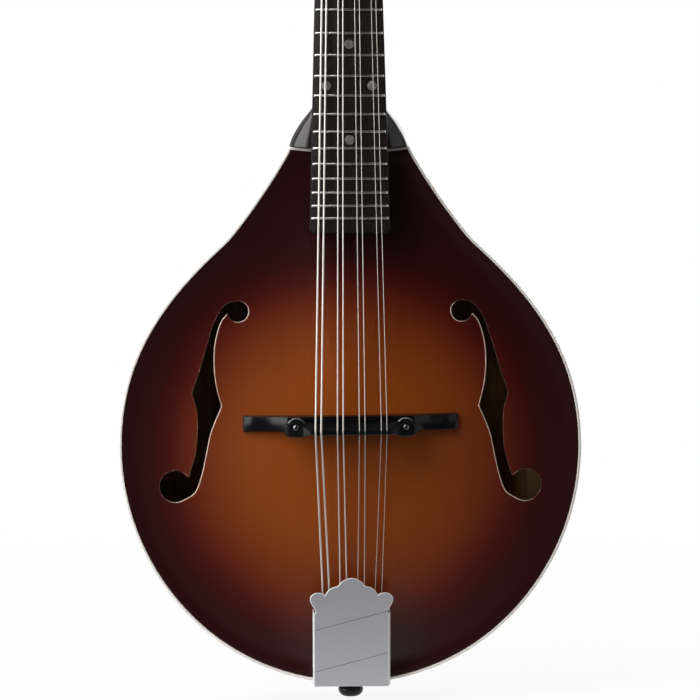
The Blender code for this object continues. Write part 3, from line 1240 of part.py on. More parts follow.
def build_tuners(head):
    """Posts with gears and windings, and worms with knobs."""
    worm = bmesh.new()
    build_worm(worm)
    wires = string_sizes()
    gaps = []
    for index, (x, y) in enumerate(post_places()):
        side = -1 if x < 0 else 1
        string = STRING_AT_POST[index]
        diameter = wires[string]
        radius = wrap_radius(diameter)
        start = tangent_angle((x, y), nut_point(string).xy, radius, side)

        bm = bmesh.new()
        hub = GEAR_PITCH_RADIUS - TOOTH_DEDENDUM - HUB_STEP
        turned(bm, [(hub, GEAR_LEVEL), (hub, PLATE_BACK - CLEARANCE), (POST_RADIUS, PLATE_BACK - CLEARANCE),
                    (POST_RADIUS, WRAP_START - POST_SHOULDER), (POST_WAIST_RADIUS, WRAP_START - POST_SLOPE),
                    (POST_WAIST_RADIUS, POST_TOP - POST_SHOULDER), (POST_RADIUS, POST_TOP - POST_SLOPE),
                    (POST_RADIUS * POST_TIP_SHARE, POST_TOP)], POST_SIDES)
        post = finish_object("tuning_post_%d" % (index + 1), bm, head, STEEL, (x, y, 0))
        gear = bmesh.new()
        twist = GEAR_WIDTH / 2 * WORM_PITCH / (2 * math.pi * WORM_PITCH_RADIUS) / GEAR_PITCH_RADIUS
        rings = [[(gx, gy, GEAR_LEVEL + way * GEAR_WIDTH / 2) for gx, gy in gear_outline(way * twist)]
                 for way in (-1, 1)]
        loft(gear, rings)
        combine(post, finish_object("gear_guide_%d" % (index + 1), gear, head, None, (x, y, 0)), "UNION")
        winding = bmesh.new()
        points = wrap_points(diameter, start, side)
        gaps.append(least_gap(points, diameter))
        sweep(winding, points, diameter / 2)
        combine(post, finish_object("winding_guide_%d" % (index + 1), winding, head, None, (x, y, 0)), "UNION")

        axis = Vector((side, 0, 0))
        toward_gear = Vector((0, 1, 0))
        turn = Matrix((toward_gear, axis.cross(toward_gear), axis)).transposed().to_euler()
        finish_object("tuner_button_%d" % (index + 1), worm.copy(), head, CREAM,
                      (x, y - CENTRE_DISTANCE, GEAR_LEVEL), turn)
    worm.free()
    print("least gap between turns of a winding: %.2f mm" % (min(gaps) * 1000))


def build_strings(bench):
    """Each string from beside its post, over nut and saddle, to its hook."""
    nuts = string_places(COURSE_AT_NUT, PAIR_AT_NUT)
    saddles = string_places(COURSE_AT_SADDLE, PAIR_AT_SADDLE)
    hooks = string_places(COURSE_AT_HOOKS, PAIR_AT_HOOKS)
    wires = string_sizes()
    tail = tail_frame_matrix()
    places = post_places()
    for index, string in enumerate(STRING_AT_POST):
        diameter = wires[string]
        post = places[index]
        side = -1 if post[0] < 0 else 1
        radius = wrap_radius(diameter)
        leave = nut_point(string)
        angle = tangent_angle(post, leave.xy, radius, side)
        meet = Vector((post[0] + radius * math.cos(angle), post[1] + radius * math.sin(angle), WRAP_START))
        swept = radius + diameter / 2 + CLEARANCE
        short = math.sqrt(swept ** 2 - radius ** 2) + diameter / 2
        meet = meet + (leave - meet).normalized() * short
        saddle = saddle_point()
        points = [HEAD_FRAME @ meet, HEAD_FRAME @ leave,
                  NECK_FRAME @ Vector((nuts[string], NUT_TO_JOINT, STRING_OVER_NUT_PLANE)),
                  Vector((saddles[string], saddle.y, saddle.z)),
                  tail @ Vector((hooks[string], HOOK_FROM_TAIL + CLEARANCE, STRING_AT_HOOK))]
        number = 1 + string % 2
        name = "string_%s%d" % (COURSE_NAMES[string // 2], number)
        bm = bmesh.new()
        sweep(bm, points, diameter / 2)
        finish_object(name, bm, bench, WOUND_WIRE if string < 4 else PLAIN_WIRE)


def build_mandolin():
    """The whole instrument, hung by its neck at the origin."""
    clear_scene()
    hang = NECK_FRAME @ Vector((0, NUT_TO_JOINT, WOOD_TOP - NECK_DEPTH_AT_NUT))
    bench = make_frame("bench_frame", None, Matrix.Translation(-(UPRIGHT @ hang)) @ UPRIGHT)
    neck = make_frame("neck_frame", bench, NECK_FRAME)
    head = make_frame("head_frame", bench, HEAD_FRAME)
    tail = make_frame("tail_frame", bench, tail_frame_matrix())

    surface = build_plates(bench)
    pin_cutter = make_pin_cutter(bench)
    build_ribs(bench, pin_cutter)
    build_linings(bench)
    build_blocks(bench, pin_cutter)
    build_tone_bars(bench, surface)
    build_neck(bench, neck, head)
    build_truss_rod(neck, head)
    build_fingerboard(neck)
    build_riser(bench, surface)
    build_nut(neck)
    build_bridge(bench, surface)
    build_tailpiece(bench, tail, pin_cutter)
    build_end_pin(bench)
    for name, side in (("bass", -1), ("treble", 1)):
        build_tuner_plate(head, name, side)
    build_tuners(head)
    build_strings(bench)


build_mandolin()
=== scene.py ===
# %% [markdown]
# # Dressing a carved-top mandolin
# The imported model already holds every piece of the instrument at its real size, in metres. This
# lesson gives each piece the finer shape and the finish that the eye expects: a sunburst soundboard
# under gloss, cream binding, a dark fingerboard with bright frets, bright strings over an ebony
# bridge, and a satin tailpiece cover. The frame is loaded first, because every new piece is placed
# by it and rides on one of its bodies.

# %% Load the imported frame
import math

import bmesh
import bpy
from mathutils import Matrix, Vector
from mathutils.bvhtree import BVHTree


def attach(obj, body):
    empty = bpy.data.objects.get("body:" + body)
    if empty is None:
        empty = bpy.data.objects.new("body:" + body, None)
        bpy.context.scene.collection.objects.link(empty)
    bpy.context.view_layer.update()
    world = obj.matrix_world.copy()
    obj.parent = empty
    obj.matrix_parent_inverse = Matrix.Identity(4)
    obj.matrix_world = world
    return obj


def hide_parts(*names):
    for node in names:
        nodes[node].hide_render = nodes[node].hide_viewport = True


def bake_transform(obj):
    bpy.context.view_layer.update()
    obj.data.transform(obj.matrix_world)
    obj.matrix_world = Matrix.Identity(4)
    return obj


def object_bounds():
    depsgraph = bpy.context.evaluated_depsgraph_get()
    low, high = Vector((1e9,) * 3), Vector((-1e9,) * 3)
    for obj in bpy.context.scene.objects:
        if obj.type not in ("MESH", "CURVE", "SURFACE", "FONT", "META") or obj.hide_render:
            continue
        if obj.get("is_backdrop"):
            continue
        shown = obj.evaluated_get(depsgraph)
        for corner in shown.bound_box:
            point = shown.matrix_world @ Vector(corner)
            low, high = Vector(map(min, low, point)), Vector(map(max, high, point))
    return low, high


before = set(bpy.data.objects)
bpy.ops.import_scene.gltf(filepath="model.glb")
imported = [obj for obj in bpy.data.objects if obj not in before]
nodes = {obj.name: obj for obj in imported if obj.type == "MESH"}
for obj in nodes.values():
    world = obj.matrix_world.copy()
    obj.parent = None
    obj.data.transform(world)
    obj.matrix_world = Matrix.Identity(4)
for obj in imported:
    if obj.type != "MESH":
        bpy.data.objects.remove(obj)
cad_low, cad_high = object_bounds()
print("CAD box", [round(v, 4) for v in cad_high - cad_low])

# %% [markdown]
# A luthier works on the body lying on a bench, on the neck along its fingerboard, and on the
# headstock square to its face. The same three views keep the numbers simple here: a piece is drawn
# with x across, y toward the headstock and z out of the face, and is then laid in its place. The
# tailpiece gets a fourth view, because its cover tilts. The bench frame is fixed by the point where
# a hanger's yoke meets the neck, which is the origin of the whole model.

# %% Working frames
CLEARANCE = 0.0003
NUT_TO_JOINT, SCALE_LENGTH, BODY_LENGTH = 0.2028, 0.3524, 0.2884
NUT_THICKNESS = BOARD_THICKNESS = 0.0050
BOARD_HEIGHT, NECK_DEPTH = 0.0120, 0.0145
FACE_THICKNESS, HEAD_DROP, TAIL_LIFT = 0.0020, 0.0035, 0.0015
NECK_PITCH, HEAD_LEAN, TAIL_TILT = math.radians(5.0), math.radians(15.0), math.radians(8.0)
NUT_BACK = NUT_TO_JOINT + NUT_THICKNESS
WOOD_TOP = -BOARD_THICKNESS - CLEARANCE
STRING_OVER_NUT = 0.0014
SIDES = (("bass", -1), ("treble", 1))

neck_on_bench = Matrix.Translation((0, 0, BOARD_HEIGHT)) @ Matrix.Rotation(-NECK_PITCH, 4, "X")
yoke = neck_on_bench @ Vector((0, NUT_TO_JOINT, WOOD_TOP - NECK_DEPTH))
upright = Matrix.Rotation(math.pi / 2, 4, "X")
BENCH = Matrix.Translation(-(upright @ yoke)) @ upright
NECK = BENCH @ neck_on_bench
HEAD = (NECK @ Matrix.Translation((0, NUT_BACK + CLEARANCE + FACE_THICKNESS * math.sin(HEAD_LEAN), -HEAD_DROP))
        @ Matrix.Rotation(-HEAD_LEAN, 4, "X"))
TAIL = BENCH @ Matrix.Translation((0, -BODY_LENGTH, TAIL_LIFT)) @ Matrix.Rotation(TAIL_TILT, 4, "X")
print("bench frame at", [round(v, 4) for v in BENCH.to_translation()])

# %% [markdown]
# Most parts of a mandolin are sections that change along a line: a neck, a bar, a bent rim, a wire.
# A circle of vertices can be laid on the first section and extruded to the next, again and again.
# That is how such a shape is pulled by hand, and it keeps the faces in neat rows, which take a smooth
# shade well. Each vertex remembers its number, so every copy of it lands on its own point.

# %% Helpers that shape
def select_only(*objs):
    bpy.ops.object.select_all(action="DESELECT")
    for obj in objs:
        obj.select_set(True)
    bpy.context.view_layer.objects.active = objs[-1]


def skin(name, rings, looped=False):
    """Extrudes a circle of vertices from section to section; looped joins the last to the first."""
    bpy.ops.object.select_all(action="DESELECT")
    bpy.ops.mesh.primitive_circle_add(vertices=len(rings[0]), fill_type="NOTHING" if looped else "NGON")
    obj = bpy.context.object
    obj.name = obj.data.name = name
    bpy.ops.object.mode_set(mode="EDIT")
    bpy.ops.mesh.select_mode(type="VERT")
    bpy.ops.mesh.select_all(action="SELECT")
    shape = bmesh.from_edit_mesh(obj.data)
    number = shape.verts.layers.int.new("number")
    shape.verts.layers.int.new("section")
    for index, vert in enumerate(shape.verts):
        vert[number] = index
        vert.co = Vector(rings[0][index])
    bmesh.update_edit_mesh(obj.data)
    for place, ring in enumerate(rings[1:], start=1):
        bpy.ops.mesh.extrude_region_move()
        shape = bmesh.from_edit_mesh(obj.data)
        number = shape.verts.layers.int["number"]
        section = shape.verts.layers.int["section"]
        for vert in shape.verts:
            if vert.select:
                vert[section] = place
                vert.co = Vector(ring[vert[number]])
        bmesh.update_edit_mesh(obj.data)
    if looped:
        bpy.ops.mesh.select_all(action="DESELECT")
        shape = bmesh.from_edit_mesh(obj.data)
        section = shape.verts.layers.int["section"]
        for vert in shape.verts:
            vert.select = vert[section] in (0, len(rings) - 1)
        shape.select_flush(True)
        for face in shape.faces:
            face.select = False
        bmesh.update_edit_mesh(obj.data)
        bpy.ops.mesh.bridge_edge_loops()
    bpy.ops.mesh.select_all(action="SELECT")
    bpy.ops.mesh.normals_make_consistent(inside=False)
    bpy.ops.object.mode_set(mode="OBJECT")
    return obj


def prism(name, outline, low, high):
    return skin(name, [[(p[0], p[1], z) for p in outline] for z in (low, high)])


def circle(radii, height):
    """Points round z at one height, from the radius of each."""
    turns = [2 * math.pi * i / len(radii) for i in range(len(radii))]
    return [(r * math.cos(a), r * math.sin(a), height) for r, a in zip(radii, turns)]


def circles(profile, sides):
    """A plain circle for each (radius, height) pair."""
    return [circle([radius] * sides, height) for radius, height in profile]


def turned(name, profile, sides):
    return skin(name, circles(profile, sides))


def drum(radius, depth, place=(0, 0, 0), sides=32, turn=(0, 0, 0)):
    """A plain cylinder to drill with."""
    bpy.ops.object.select_all(action="DESELECT")
    bpy.ops.mesh.primitive_cylinder_add(vertices=sides, radius=radius, depth=depth, location=place, rotation=turn)
    return bpy.context.object


def block(size=(1, 1, 1), place=(0, 0, 0)):
    """A plain box to cut with."""
    bpy.ops.object.select_all(action="DESELECT")
    bpy.ops.mesh.primitive_cube_add(size=1, location=place, scale=size)
    return bpy.context.object


def wire_rings(points, radius, sides, closed=False, lift=Vector((0, 0, 1))):
    """Round sections square to the run of a wire."""
    rings = []
    last = len(points) - 1
    for i, point in enumerate(points):
        ahead = points[(i + 1) % len(points)] if closed else points[min(i + 1, last)]
        behind = points[i - 1] if closed else points[max(i - 1, 0)]
        run = (ahead - behind).normalized()
        across = run.cross(lift).normalized()
        up = across.cross(run)
        rings.append([point + (across * math.cos(a) + up * math.sin(a)) * radius
                      for a in (2 * math.pi * k / sides for k in range(sides))])
    return rings


def apply_modifier(obj, kind, **values):
    modifier = obj.modifiers.new(kind, kind)
    for key, value in values.items():
        setattr(modifier, key, value)
    select_only(obj)
    bpy.ops.object.modifier_apply(modifier=modifier.name)


def bevel(obj, width, segments=2, angle=40):
    apply_modifier(obj, "BEVEL", width=width, segments=segments, limit_method="ANGLE",
                   angle_limit=math.radians(angle))


def combine(obj, *tools, operation="DIFFERENCE"):
    for tool in tools:
        apply_modifier(obj, "BOOLEAN", object=tool, operation=operation, solver="EXACT")
        bpy.data.objects.remove(tool)


def lay(obj, matrix):
    """Sets a drawn piece down in its place, and leaves its object at the origin."""
    select_only(obj)
    obj.matrix_world = matrix
    bpy.ops.object.transform_apply(location=True, rotation=True, scale=True)
    return obj


def twin(obj, name, matrix):
    """A copy with its own mesh, moved by a matrix."""
    copy = obj.copy()
    copy.data = obj.data.copy()
    copy.name = copy.data.name = name
    bpy.context.scene.collection.objects.link(copy)
    return lay(copy, matrix)


def discard(*patterns):
    for pattern in patterns:
        bpy.data.objects.remove(pattern)


def refined(node, name, width=0.0003, angle=40):
    """A node's own shape with its seams merged and its edges eased."""
    copy = bpy.data.objects.new(name, nodes[node].data.copy())
    bpy.context.scene.collection.objects.link(copy)
    copy.data.materials.clear()
    select_only(copy)
    bpy.ops.object.mode_set(mode="EDIT")
    bpy.ops.mesh.select_all(action="SELECT")
    bpy.ops.mesh.remove_doubles(threshold=1e-6)
    bpy.ops.mesh.customdata_custom_splitnormals_clear()
    bpy.ops.mesh.dissolve_limited(angle_limit=math.radians(0.5))
    bpy.ops.object.mode_set(mode="OBJECT")
    if width:
        bevel(copy, width, 2, angle)
    return copy


def finish(obj, material, body="root", stands_for=(), angle=35):
    """Shade, material, body and replaced nodes, in one place for every piece."""
    select_only(obj)
    bpy.ops.object.shade_smooth_by_angle(angle=math.radians(angle))
    if not obj.data.materials:
        obj.data.materials.append(material)
    if body:
        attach(obj, body)
    if stands_for:
        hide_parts(*stands_for)
    return obj


def add_materials(obj, *materials):
    for material in materials:
        obj.data.materials.append(material)


def repaint(material, *names):
    """A finish of its own for each CAD node that keeps its shape."""
    for name in names:
        nodes[name].data.materials.clear()
        add_materials(nodes[name], material)


# %% [markdown]
# Curved outlines come from a few measured knots. A cubic that leaves and meets each knot along its
# neighbours' direction is what a bent spline on paper does, so the same two helpers serve the body,
# the sound holes, the headstock and the tailpiece.

# %% Helpers that draw outlines
def cubic(start, pull_start, pull_end, end, steps):
    return [start * (1 - t) ** 3 + pull_start * 3 * t * (1 - t) ** 2 + pull_end * 3 * t * t * (1 - t) + end * t ** 3
            for t in (i / steps for i in range(1, steps + 1))]


def clamped(value):
    return min(max(value, 0.0), 1.0)


def through(knots, steps=6):
    knots = [Vector(knot) for knot in knots]
    ends = [knots[0] * 2 - knots[1]] + knots + [knots[-1] * 2 - knots[-2]]
    points = [knots[0]]
    for before, start, end, after in zip(ends, ends[1:], ends[2:], ends[3:]):
        points += cubic(start, start + (end - before) / 6, end - (after - start) / 6, end, steps)
    return points


def mirrored(half):
    return [Vector(p) for p in half] + [Vector((-p[0], p[1])) for p in reversed(half) if abs(p[0]) > 1e-6]


def inset(points, amount):
    moved = []
    for i, point in enumerate(points):
        before = (point - points[i - 1]).normalized()
        after = (points[(i + 1) % len(points)] - point).normalized()
        normals = [Vector((edge.y, -edge.x)) for edge in (before, after)]
        bisector = (normals[0] + normals[1]).normalized()
        moved.append(point + bisector * amount / max(bisector.dot(normals[0]), 0.5))
    return moved


# %% [markdown]
# Finishes are built from nodes. Wood is a noise that is stretched along the grain, and it steers the
# colour and, faintly, the height. Lacquer is the Principled shader's own gloss over it. Metal is its
# metallic setting with a fine brushed or cloudy roughness. All patterns read Object coordinates in
# metres, so a scale of 1000 gives a feature about a millimetre across. Colours are written as a
# screen shows them, 0 to 255, and turned into the linear values that the shader wants.

# %% Helpers that make materials
def rgb(red, green, blue):
    def linear(value):
        value /= 255
        return value / 12.92 if value <= 0.04045 else ((value + 0.055) / 1.055) ** 2.4
    return (linear(red), linear(green), linear(blue), 1.0)


def add(tree, kind, **values):
    """Adds a shader node; a value sets a property or an input, or is another node's output to link."""
    node = tree.nodes.new("ShaderNode" + kind)
    for key, value in values.items():
        if hasattr(node, key):
            setattr(node, key, value)
            continue
        socket = node.inputs[key.replace("_", " ")]
        if isinstance(value, bpy.types.NodeSocket):
            tree.links.new(value, socket)
        else:
            socket.default_value = value
    return node


def new_material(name, colour, roughness, metallic=0.0, specular=0.5, coat=0.0):
    material = bpy.data.materials.new(name)
    material.use_nodes = True
    shader = material.node_tree.nodes["Principled BSDF"]
    for socket, value in (("Base Color", colour), ("Roughness", roughness), ("Metallic", metallic),
                          ("Specular IOR Level", specular), ("Coat Weight", coat), ("Coat Roughness", 0.05)):
        shader.inputs[socket].default_value = value
    return material, material.node_tree, shader


def noise(tree, stretch, detail=4.0):
    """A noise on Object coordinates; stretch gives features per metre along x, y and z."""
    mapping = add(tree, "Mapping", Scale=stretch, Vector=add(tree, "TexCoord").outputs["Object"])
    texture = add(tree, "TexNoise", Scale=1.0, Detail=detail, Roughness=0.55, Vector=mapping.outputs["Vector"])
    return texture.outputs["Fac"]


def ramp(tree, source, stops):
    node = add(tree, "ValToRGB", Fac=source)
    elements = node.color_ramp.elements
    while len(elements) < len(stops):
        elements.new(0.5)
    for element, (place, colour) in zip(elements, stops):
        element.position = place
        element.color = colour
    return node.outputs["Color"]


def grey(value):
    return (value, value, value, 1.0)


def multiply(tree, first, second):
    return add(tree, "Mix", data_type="RGBA", blend_type="MULTIPLY", Factor=1.0, A=first, B=second).outputs["Result"]


def arithmetic(tree, operation, *sources):
    node = add(tree, "Math", operation=operation)
    for place, source in enumerate(sources):
        tree.links.new(source, node.inputs[place])
    return node.outputs["Value"]


def bump(tree, shader, source, height, strength=0.3):
    node = add(tree, "Bump", Distance=height, Strength=strength, Height=source)
    tree.links.new(node.outputs["Normal"], shader.inputs["Normal"])


def vary_roughness(tree, shader, source, low, high):
    node = add(tree, "MapRange", To_Min=low, To_Max=high, Value=source)
    tree.links.new(node.outputs["Result"], shader.inputs["Roughness"])


def drifting(name, colour, roughness, stretch, stops, detail=4.0, **gloss):
    """A material whose colour drifts from stop to stop along a noise, which is returned too."""
    material, tree, shader = new_material(name, colour, roughness, **gloss)
    drift = noise(tree, stretch, detail)
    tree.links.new(ramp(tree, drift, stops), shader.inputs["Base Color"])
    return material, tree, shader, drift


def wood(name, dark, light, roughness, stretch, height=0.00003, **gloss):
    """Bare or lacquered wood: two colours along a stretched grain."""
    material, tree, shader, grain = drifting(name, light, roughness, stretch, [(0.36, dark), (0.64, light)], **gloss)
    bump(tree, shader, grain, height, 0.5)
    return material


def metal(name, colour, low, high, stretch=(900, 900, 900), height=0.000004, metallic=1.0):
    """Plated or plain metal, a little cloudy where hands and time have dulled it."""
    material, tree, shader = new_material(name, colour, low, metallic=metallic)
    cloud = noise(tree, stretch, 3.0)
    vary_roughness(tree, shader, cloud, low, high)
    bump(tree, shader, cloud, height, 0.4)
    return material


# %% [markdown]
# The soundboard's sunburst is sprayed from the edge inward: an amber middle, a red-brown belt and a
# nearly black rim, all under gloss. A round gradient centred near the bridge gives the belt, a slow
# noise keeps it from looking drawn with a compass, and a fine stretched noise is the spruce grain.
# The back is shaded by the same fade, over the broad flame of its maple.

# %% Finishes of the woods
BOUT_CENTRE = Vector((0.0, -0.1603))
# Its middle sits 3 mm left of the centre line: painted light, a lighter left side added to what the key light gives.
burst_middle = BENCH @ Vector((-0.003, -0.1640, 0.0))
BURST_REACH = 0.130
LACQUER_DEPTH = 0.000006


def burst_fade(tree):
    """1 in the middle of the bout and 0 at its rim, drifting a little like a hand-held spray."""
    centred = add(tree, "Mapping", Vector=add(tree, "TexCoord").outputs["Object"],
                  Location=(-burst_middle.x / BURST_REACH, 0, -burst_middle.z / BURST_REACH),
                  Scale=(1 / BURST_REACH, 0, 1 / BURST_REACH))
    round_fade = add(tree, "TexGradient", gradient_type="SPHERICAL", Vector=centred.outputs["Vector"])
    drift = add(tree, "Math", operation="MULTIPLY_ADD")
    tree.links.new(noise(tree, (18, 18, 18), 2.0), drift.inputs[0])
    drift.inputs[1].default_value = 0.05
    tree.links.new(round_fade.outputs["Fac"], drift.inputs[2])
    return drift.outputs["Value"]


sunburst, tree, shader = new_material("sunburst gloss", rgb(120, 54, 20), 0.34, specular=0.3, coat=0.5)
BURST_STOPS = [(0.10, rgb(44, 5, 7)), (0.22, rgb(54, 4, 4)), (0.30, rgb(75, 13, 4)), (0.38, rgb(102, 34, 9)),
               (0.46, rgb(122, 50, 13)), (0.55, rgb(137, 61, 14)), (0.68, rgb(151, 71, 15)), (1.0, rgb(153, 72, 10))]
burst = ramp(tree, burst_fade(tree), BURST_STOPS)
spruce_lines = noise(tree, (1100, 40, 9), 3.0)
shades = ramp(tree, spruce_lines, [(0.3, grey(0.90)), (0.7, grey(1.0))])
tree.links.new(multiply(tree, burst, shades), shader.inputs["Base Color"])
bump(tree, shader, spruce_lines, LACQUER_DEPTH)

dark_maple, tree, shader, _ = drifting("dark maple gloss", rgb(60, 22, 14), 0.28, (26, 26, 240),
                                       [(0.3, rgb(44, 15, 11)), (0.7, rgb(84, 33, 18))], 2.0, specular=0.35)
bump(tree, shader, noise(tree, (500, 500, 30)), LACQUER_DEPTH)

back_maple, tree, shader = new_material("shaded back gloss", rgb(70, 26, 14), 0.30, specular=0.35)
flame = ramp(tree, noise(tree, (30, 30, 190), 1.5), [(0.25, rgb(170, 170, 170)), (0.75, rgb(255, 255, 255))])
stain = ramp(tree, burst_fade(tree), [(0.08, rgb(38, 11, 9)), (0.30, rgb(74, 25, 13)), (0.55, rgb(112, 49, 21)),
                                      (0.9, rgb(130, 62, 26))])
tree.links.new(multiply(tree, stain, flame), shader.inputs["Base Color"])
bump(tree, shader, noise(tree, (500, 500, 30)), LACQUER_DEPTH)

inner_spruce = wood("bare spruce inside", rgb(186, 138, 88), rgb(214, 170, 118), 0.8, (700, 700, 12))
inner_maple = wood("bare back inside", rgb(176, 130, 80), rgb(200, 158, 106), 0.8, (500, 500, 20))
bare_mahogany = wood("bare mahogany", rgb(120, 66, 40), rgb(152, 88, 54), 0.75, (420, 420, 18))
neck_lacquer = wood("neck lacquer", rgb(17, 8, 9), rgb(27, 13, 12), 0.20, (500, 500, 16), 0.000005)
rosewood = wood("oiled board", rgb(20, 15, 14), rgb(38, 30, 27), 0.42, (1300, 1300, 26), 0.00003, specular=0.3)
ebony = wood("polished ebony", rgb(8, 9, 11), rgb(15, 16, 19), 0.24, (1400, 1400, 40), 0.000005, specular=0.25)
hole_edge = wood("sound hole edge", rgb(30, 13, 9), rgb(58, 26, 15), 0.35, (900, 900, 40), 0.00001)
# A pale, half metallic finish for the sound holes' lip bead: a painted highlight along their edges.
lip_highlight_paint = metal("sound hole lip with painted highlight", rgb(232, 206, 190), 0.20, 0.28, (900, 900, 40), 0.000003, metallic=0.35)
print("wood finishes made")

# %% [markdown]
# Metals, plastics and bone are simpler, but none is one flat value. Plated parts are a little cloudy,
# the tailpiece cover is brushed along its length, wound strings show their wrap as fine bands, and
# the tuner buttons have the drifting layers of imitation ivory.

# %% Finishes of the fittings
nickel = metal("nickel plate", rgb(196, 196, 199), 0.16, 0.26)
worn_steel = metal("plain steel", rgb(165, 165, 168), 0.28, 0.40)
dark_nickel = metal("black nickel", rgb(138, 138, 142), 0.14, 0.22)
# Near-white and half matte, for the bevel along the cover's crest: a polished edge with its highlight painted in.
edge_highlight_paint = metal("cover edge with painted highlight", rgb(248, 247, 247), 0.30, 0.36, metallic=0.35)
brass = metal("machined brass", rgb(206, 168, 96), 0.25, 0.35)
fret_metal = metal("fret metal", rgb(226, 224, 218), 0.24, 0.32)
satin_cover = metal("satin cover", rgb(190, 190, 195), 0.46, 0.54, (2400, 2400, 120), 0.000003, metallic=0.5)
plain_wire = metal("plain string wire", rgb(232, 226, 217), 0.26, 0.30, (60, 60, 60), 0.0000005, metallic=0.75)
engraving = metal("engraved line", rgb(96, 96, 101), 0.5, 0.6)

wound_wire, tree, shader = new_material("wound string wire", rgb(244, 237, 228), 0.32, metallic=0.75)
bands = add(tree, "TexWave", wave_type="BANDS", bands_direction="Z", Scale=1250.0, Distortion=0.0,
            Vector=add(tree, "TexCoord").outputs["Object"])
bump(tree, shader, bands.outputs["Fac"], 0.00004)

binding_cream = drifting("cream binding", rgb(250, 244, 238), 0.30, (300, 300, 60),
                         [(0.3, rgb(247, 238, 231)), (0.7, rgb(253, 249, 245))], coat=0.2)[0]
bone = drifting("polished bone", rgb(232, 226, 206), 0.35, (900, 200, 200),
                [(0.3, rgb(222, 213, 190)), (0.7, rgb(238, 233, 216))])[0]
shell_dot = drifting("grey shell dot", rgb(120, 118, 116), 0.22, (420, 420, 420),
                     [(0.35, rgb(96, 94, 93)), (0.65, rgb(150, 148, 146))], 2.0, coat=0.3)[0]
button_plastic = drifting("ivory button", rgb(235, 226, 203), 0.25, (160, 160, 700),
                          [(0.3, rgb(222, 209, 178)), (0.7, rgb(242, 236, 218))], 2.0, coat=0.3)[0]
black_gloss, tree, shader = new_material("black gloss plate", rgb(14, 13, 13), 0.10)
vary_roughness(tree, shader, noise(tree, (200, 200, 200)), 0.08, 0.14)
print("fitting finishes made")

# %% [markdown]
# The body's outline is a teardrop: a narrow flat end at the neck, a hollow shoulder, one wide bout
# and a round tail. Both plates are carved: the height follows the distance from the bout's middle to
# the edge, with a shallow channel just inside the rim. Pulling one ring of vertices in from the edge,
# step by step, and lifting it by that rule is how the arch is carved here.

# %% Body outline and arch
NECK_END_HALF, SHOULDER, WIDEST = 0.0321, Vector((0.0674, -0.0510)), Vector((0.12405, -0.1603))
EDGE_LEANS = (math.radians(25.3), math.radians(48.0))
PLATE_EDGE, RECURVE, RECURVE_AT = 0.0048, 0.0007, 0.94
RIB_TOP = -PLATE_EDGE - CLEARANCE
RIB_BOTTOM = RIB_TOP - 0.0340
BACK_INNER = RIB_BOTTOM - CLEARANCE
BACK_OUTER = BACK_INNER - PLATE_EDGE
RIB_THICKNESS, BINDING_WIDTH = 0.0022, 0.0015
NECK_END_DIP = 0.0034


def body_edge(dip):
    """The whole outline, from the middle of the neck end, which may dip toward the bout."""
    corner, tail = Vector((NECK_END_HALF, 0.0)), Vector((0.0, -BODY_LENGTH))
    off_corner, off_shoulder = [Vector((math.sin(lean), -math.cos(lean))) for lean in EDGE_LEANS]
    upper, middle = (SHOULDER - corner).length, (WIDEST - SHOULDER).length
    half = [corner]
    half += cubic(corner, corner + off_corner * upper * 0.235,
                  SHOULDER - off_shoulder * upper * 0.144, SHOULDER, 14)
    half += cubic(SHOULDER, SHOULDER + off_shoulder * middle * 0.368,
                  WIDEST + Vector((0, middle * 0.385)), WIDEST, 24)
    half += cubic(WIDEST, WIDEST - Vector((0, (BODY_LENGTH + WIDEST.y) * 0.523)),
                  tail + Vector((WIDEST.x * 0.581, 0)), tail, 34)
    return [Vector((0.0, -dip))] + half + [Vector((-p.x, p.y)) for p in reversed(half[:-1])]


def arch_height(fraction, arch):
    if fraction < RECURVE_AT:
        return -RECURVE + (arch + RECURVE) * (1 + math.cos(math.pi * fraction / RECURVE_AT)) / 2
    return -RECURVE * (1 + math.cos(math.pi * (fraction - RECURVE_AT) / (1 - RECURVE_AT))) / 2


def carved_plate(name, edge, arch, face, side, rim=((1.0, 0.0004), (0.9985, 0.0))):
    """One carved plate: from the inner middle out to the rim, round it, and back over the outside."""
    wood_thickness = PLATE_EDGE - RECURVE
    inner_places = [0.03] + [0.08 * i for i in range(1, 12)]
    outer_places = [0.985, 0.97, 0.955, 0.94, 0.925, 0.91] + [0.88 - 0.035 * i for i in range(25)]
    steps = [(f, face + side * (arch_height(f, arch) - wood_thickness)) for f in inner_places]
    steps += [(RECURVE_AT, face - side * PLATE_EDGE), (1.0, face - side * PLATE_EDGE)]
    steps += [(share, face - side * drop) for share, drop in rim]
    steps += [(f, face + side * arch_height(f, arch)) for f in outer_places]
    return skin(name, [[(*(BOUT_CENTRE + (p - BOUT_CENTRE) * f), z) for p in edge] for f, z in steps])


EDGE, TOP_EDGE = body_edge(0.0), body_edge(NECK_END_DIP)
top = carved_plate("soundboard", inset(TOP_EDGE, BINDING_WIDTH + CLEARANCE), 0.0115, 0.0, 1)
top_shape = BVHTree.FromPolygons([v.co.copy() for v in top.data.vertices],
                                 [tuple(f.vertices) for f in top.data.polygons])


def top_height(x, y):
    return top_shape.ray_cast(Vector((x, y, 1.0)), Vector((0, 0, -1)))[0].z


for polygon in top.data.polygons:
    polygon.material_index = 1 if polygon.normal.z < 0.1 else 0
print("soundboard faces", len(top.data.polygons), "arch", round(top_height(0, BOUT_CENTRE.y), 4))
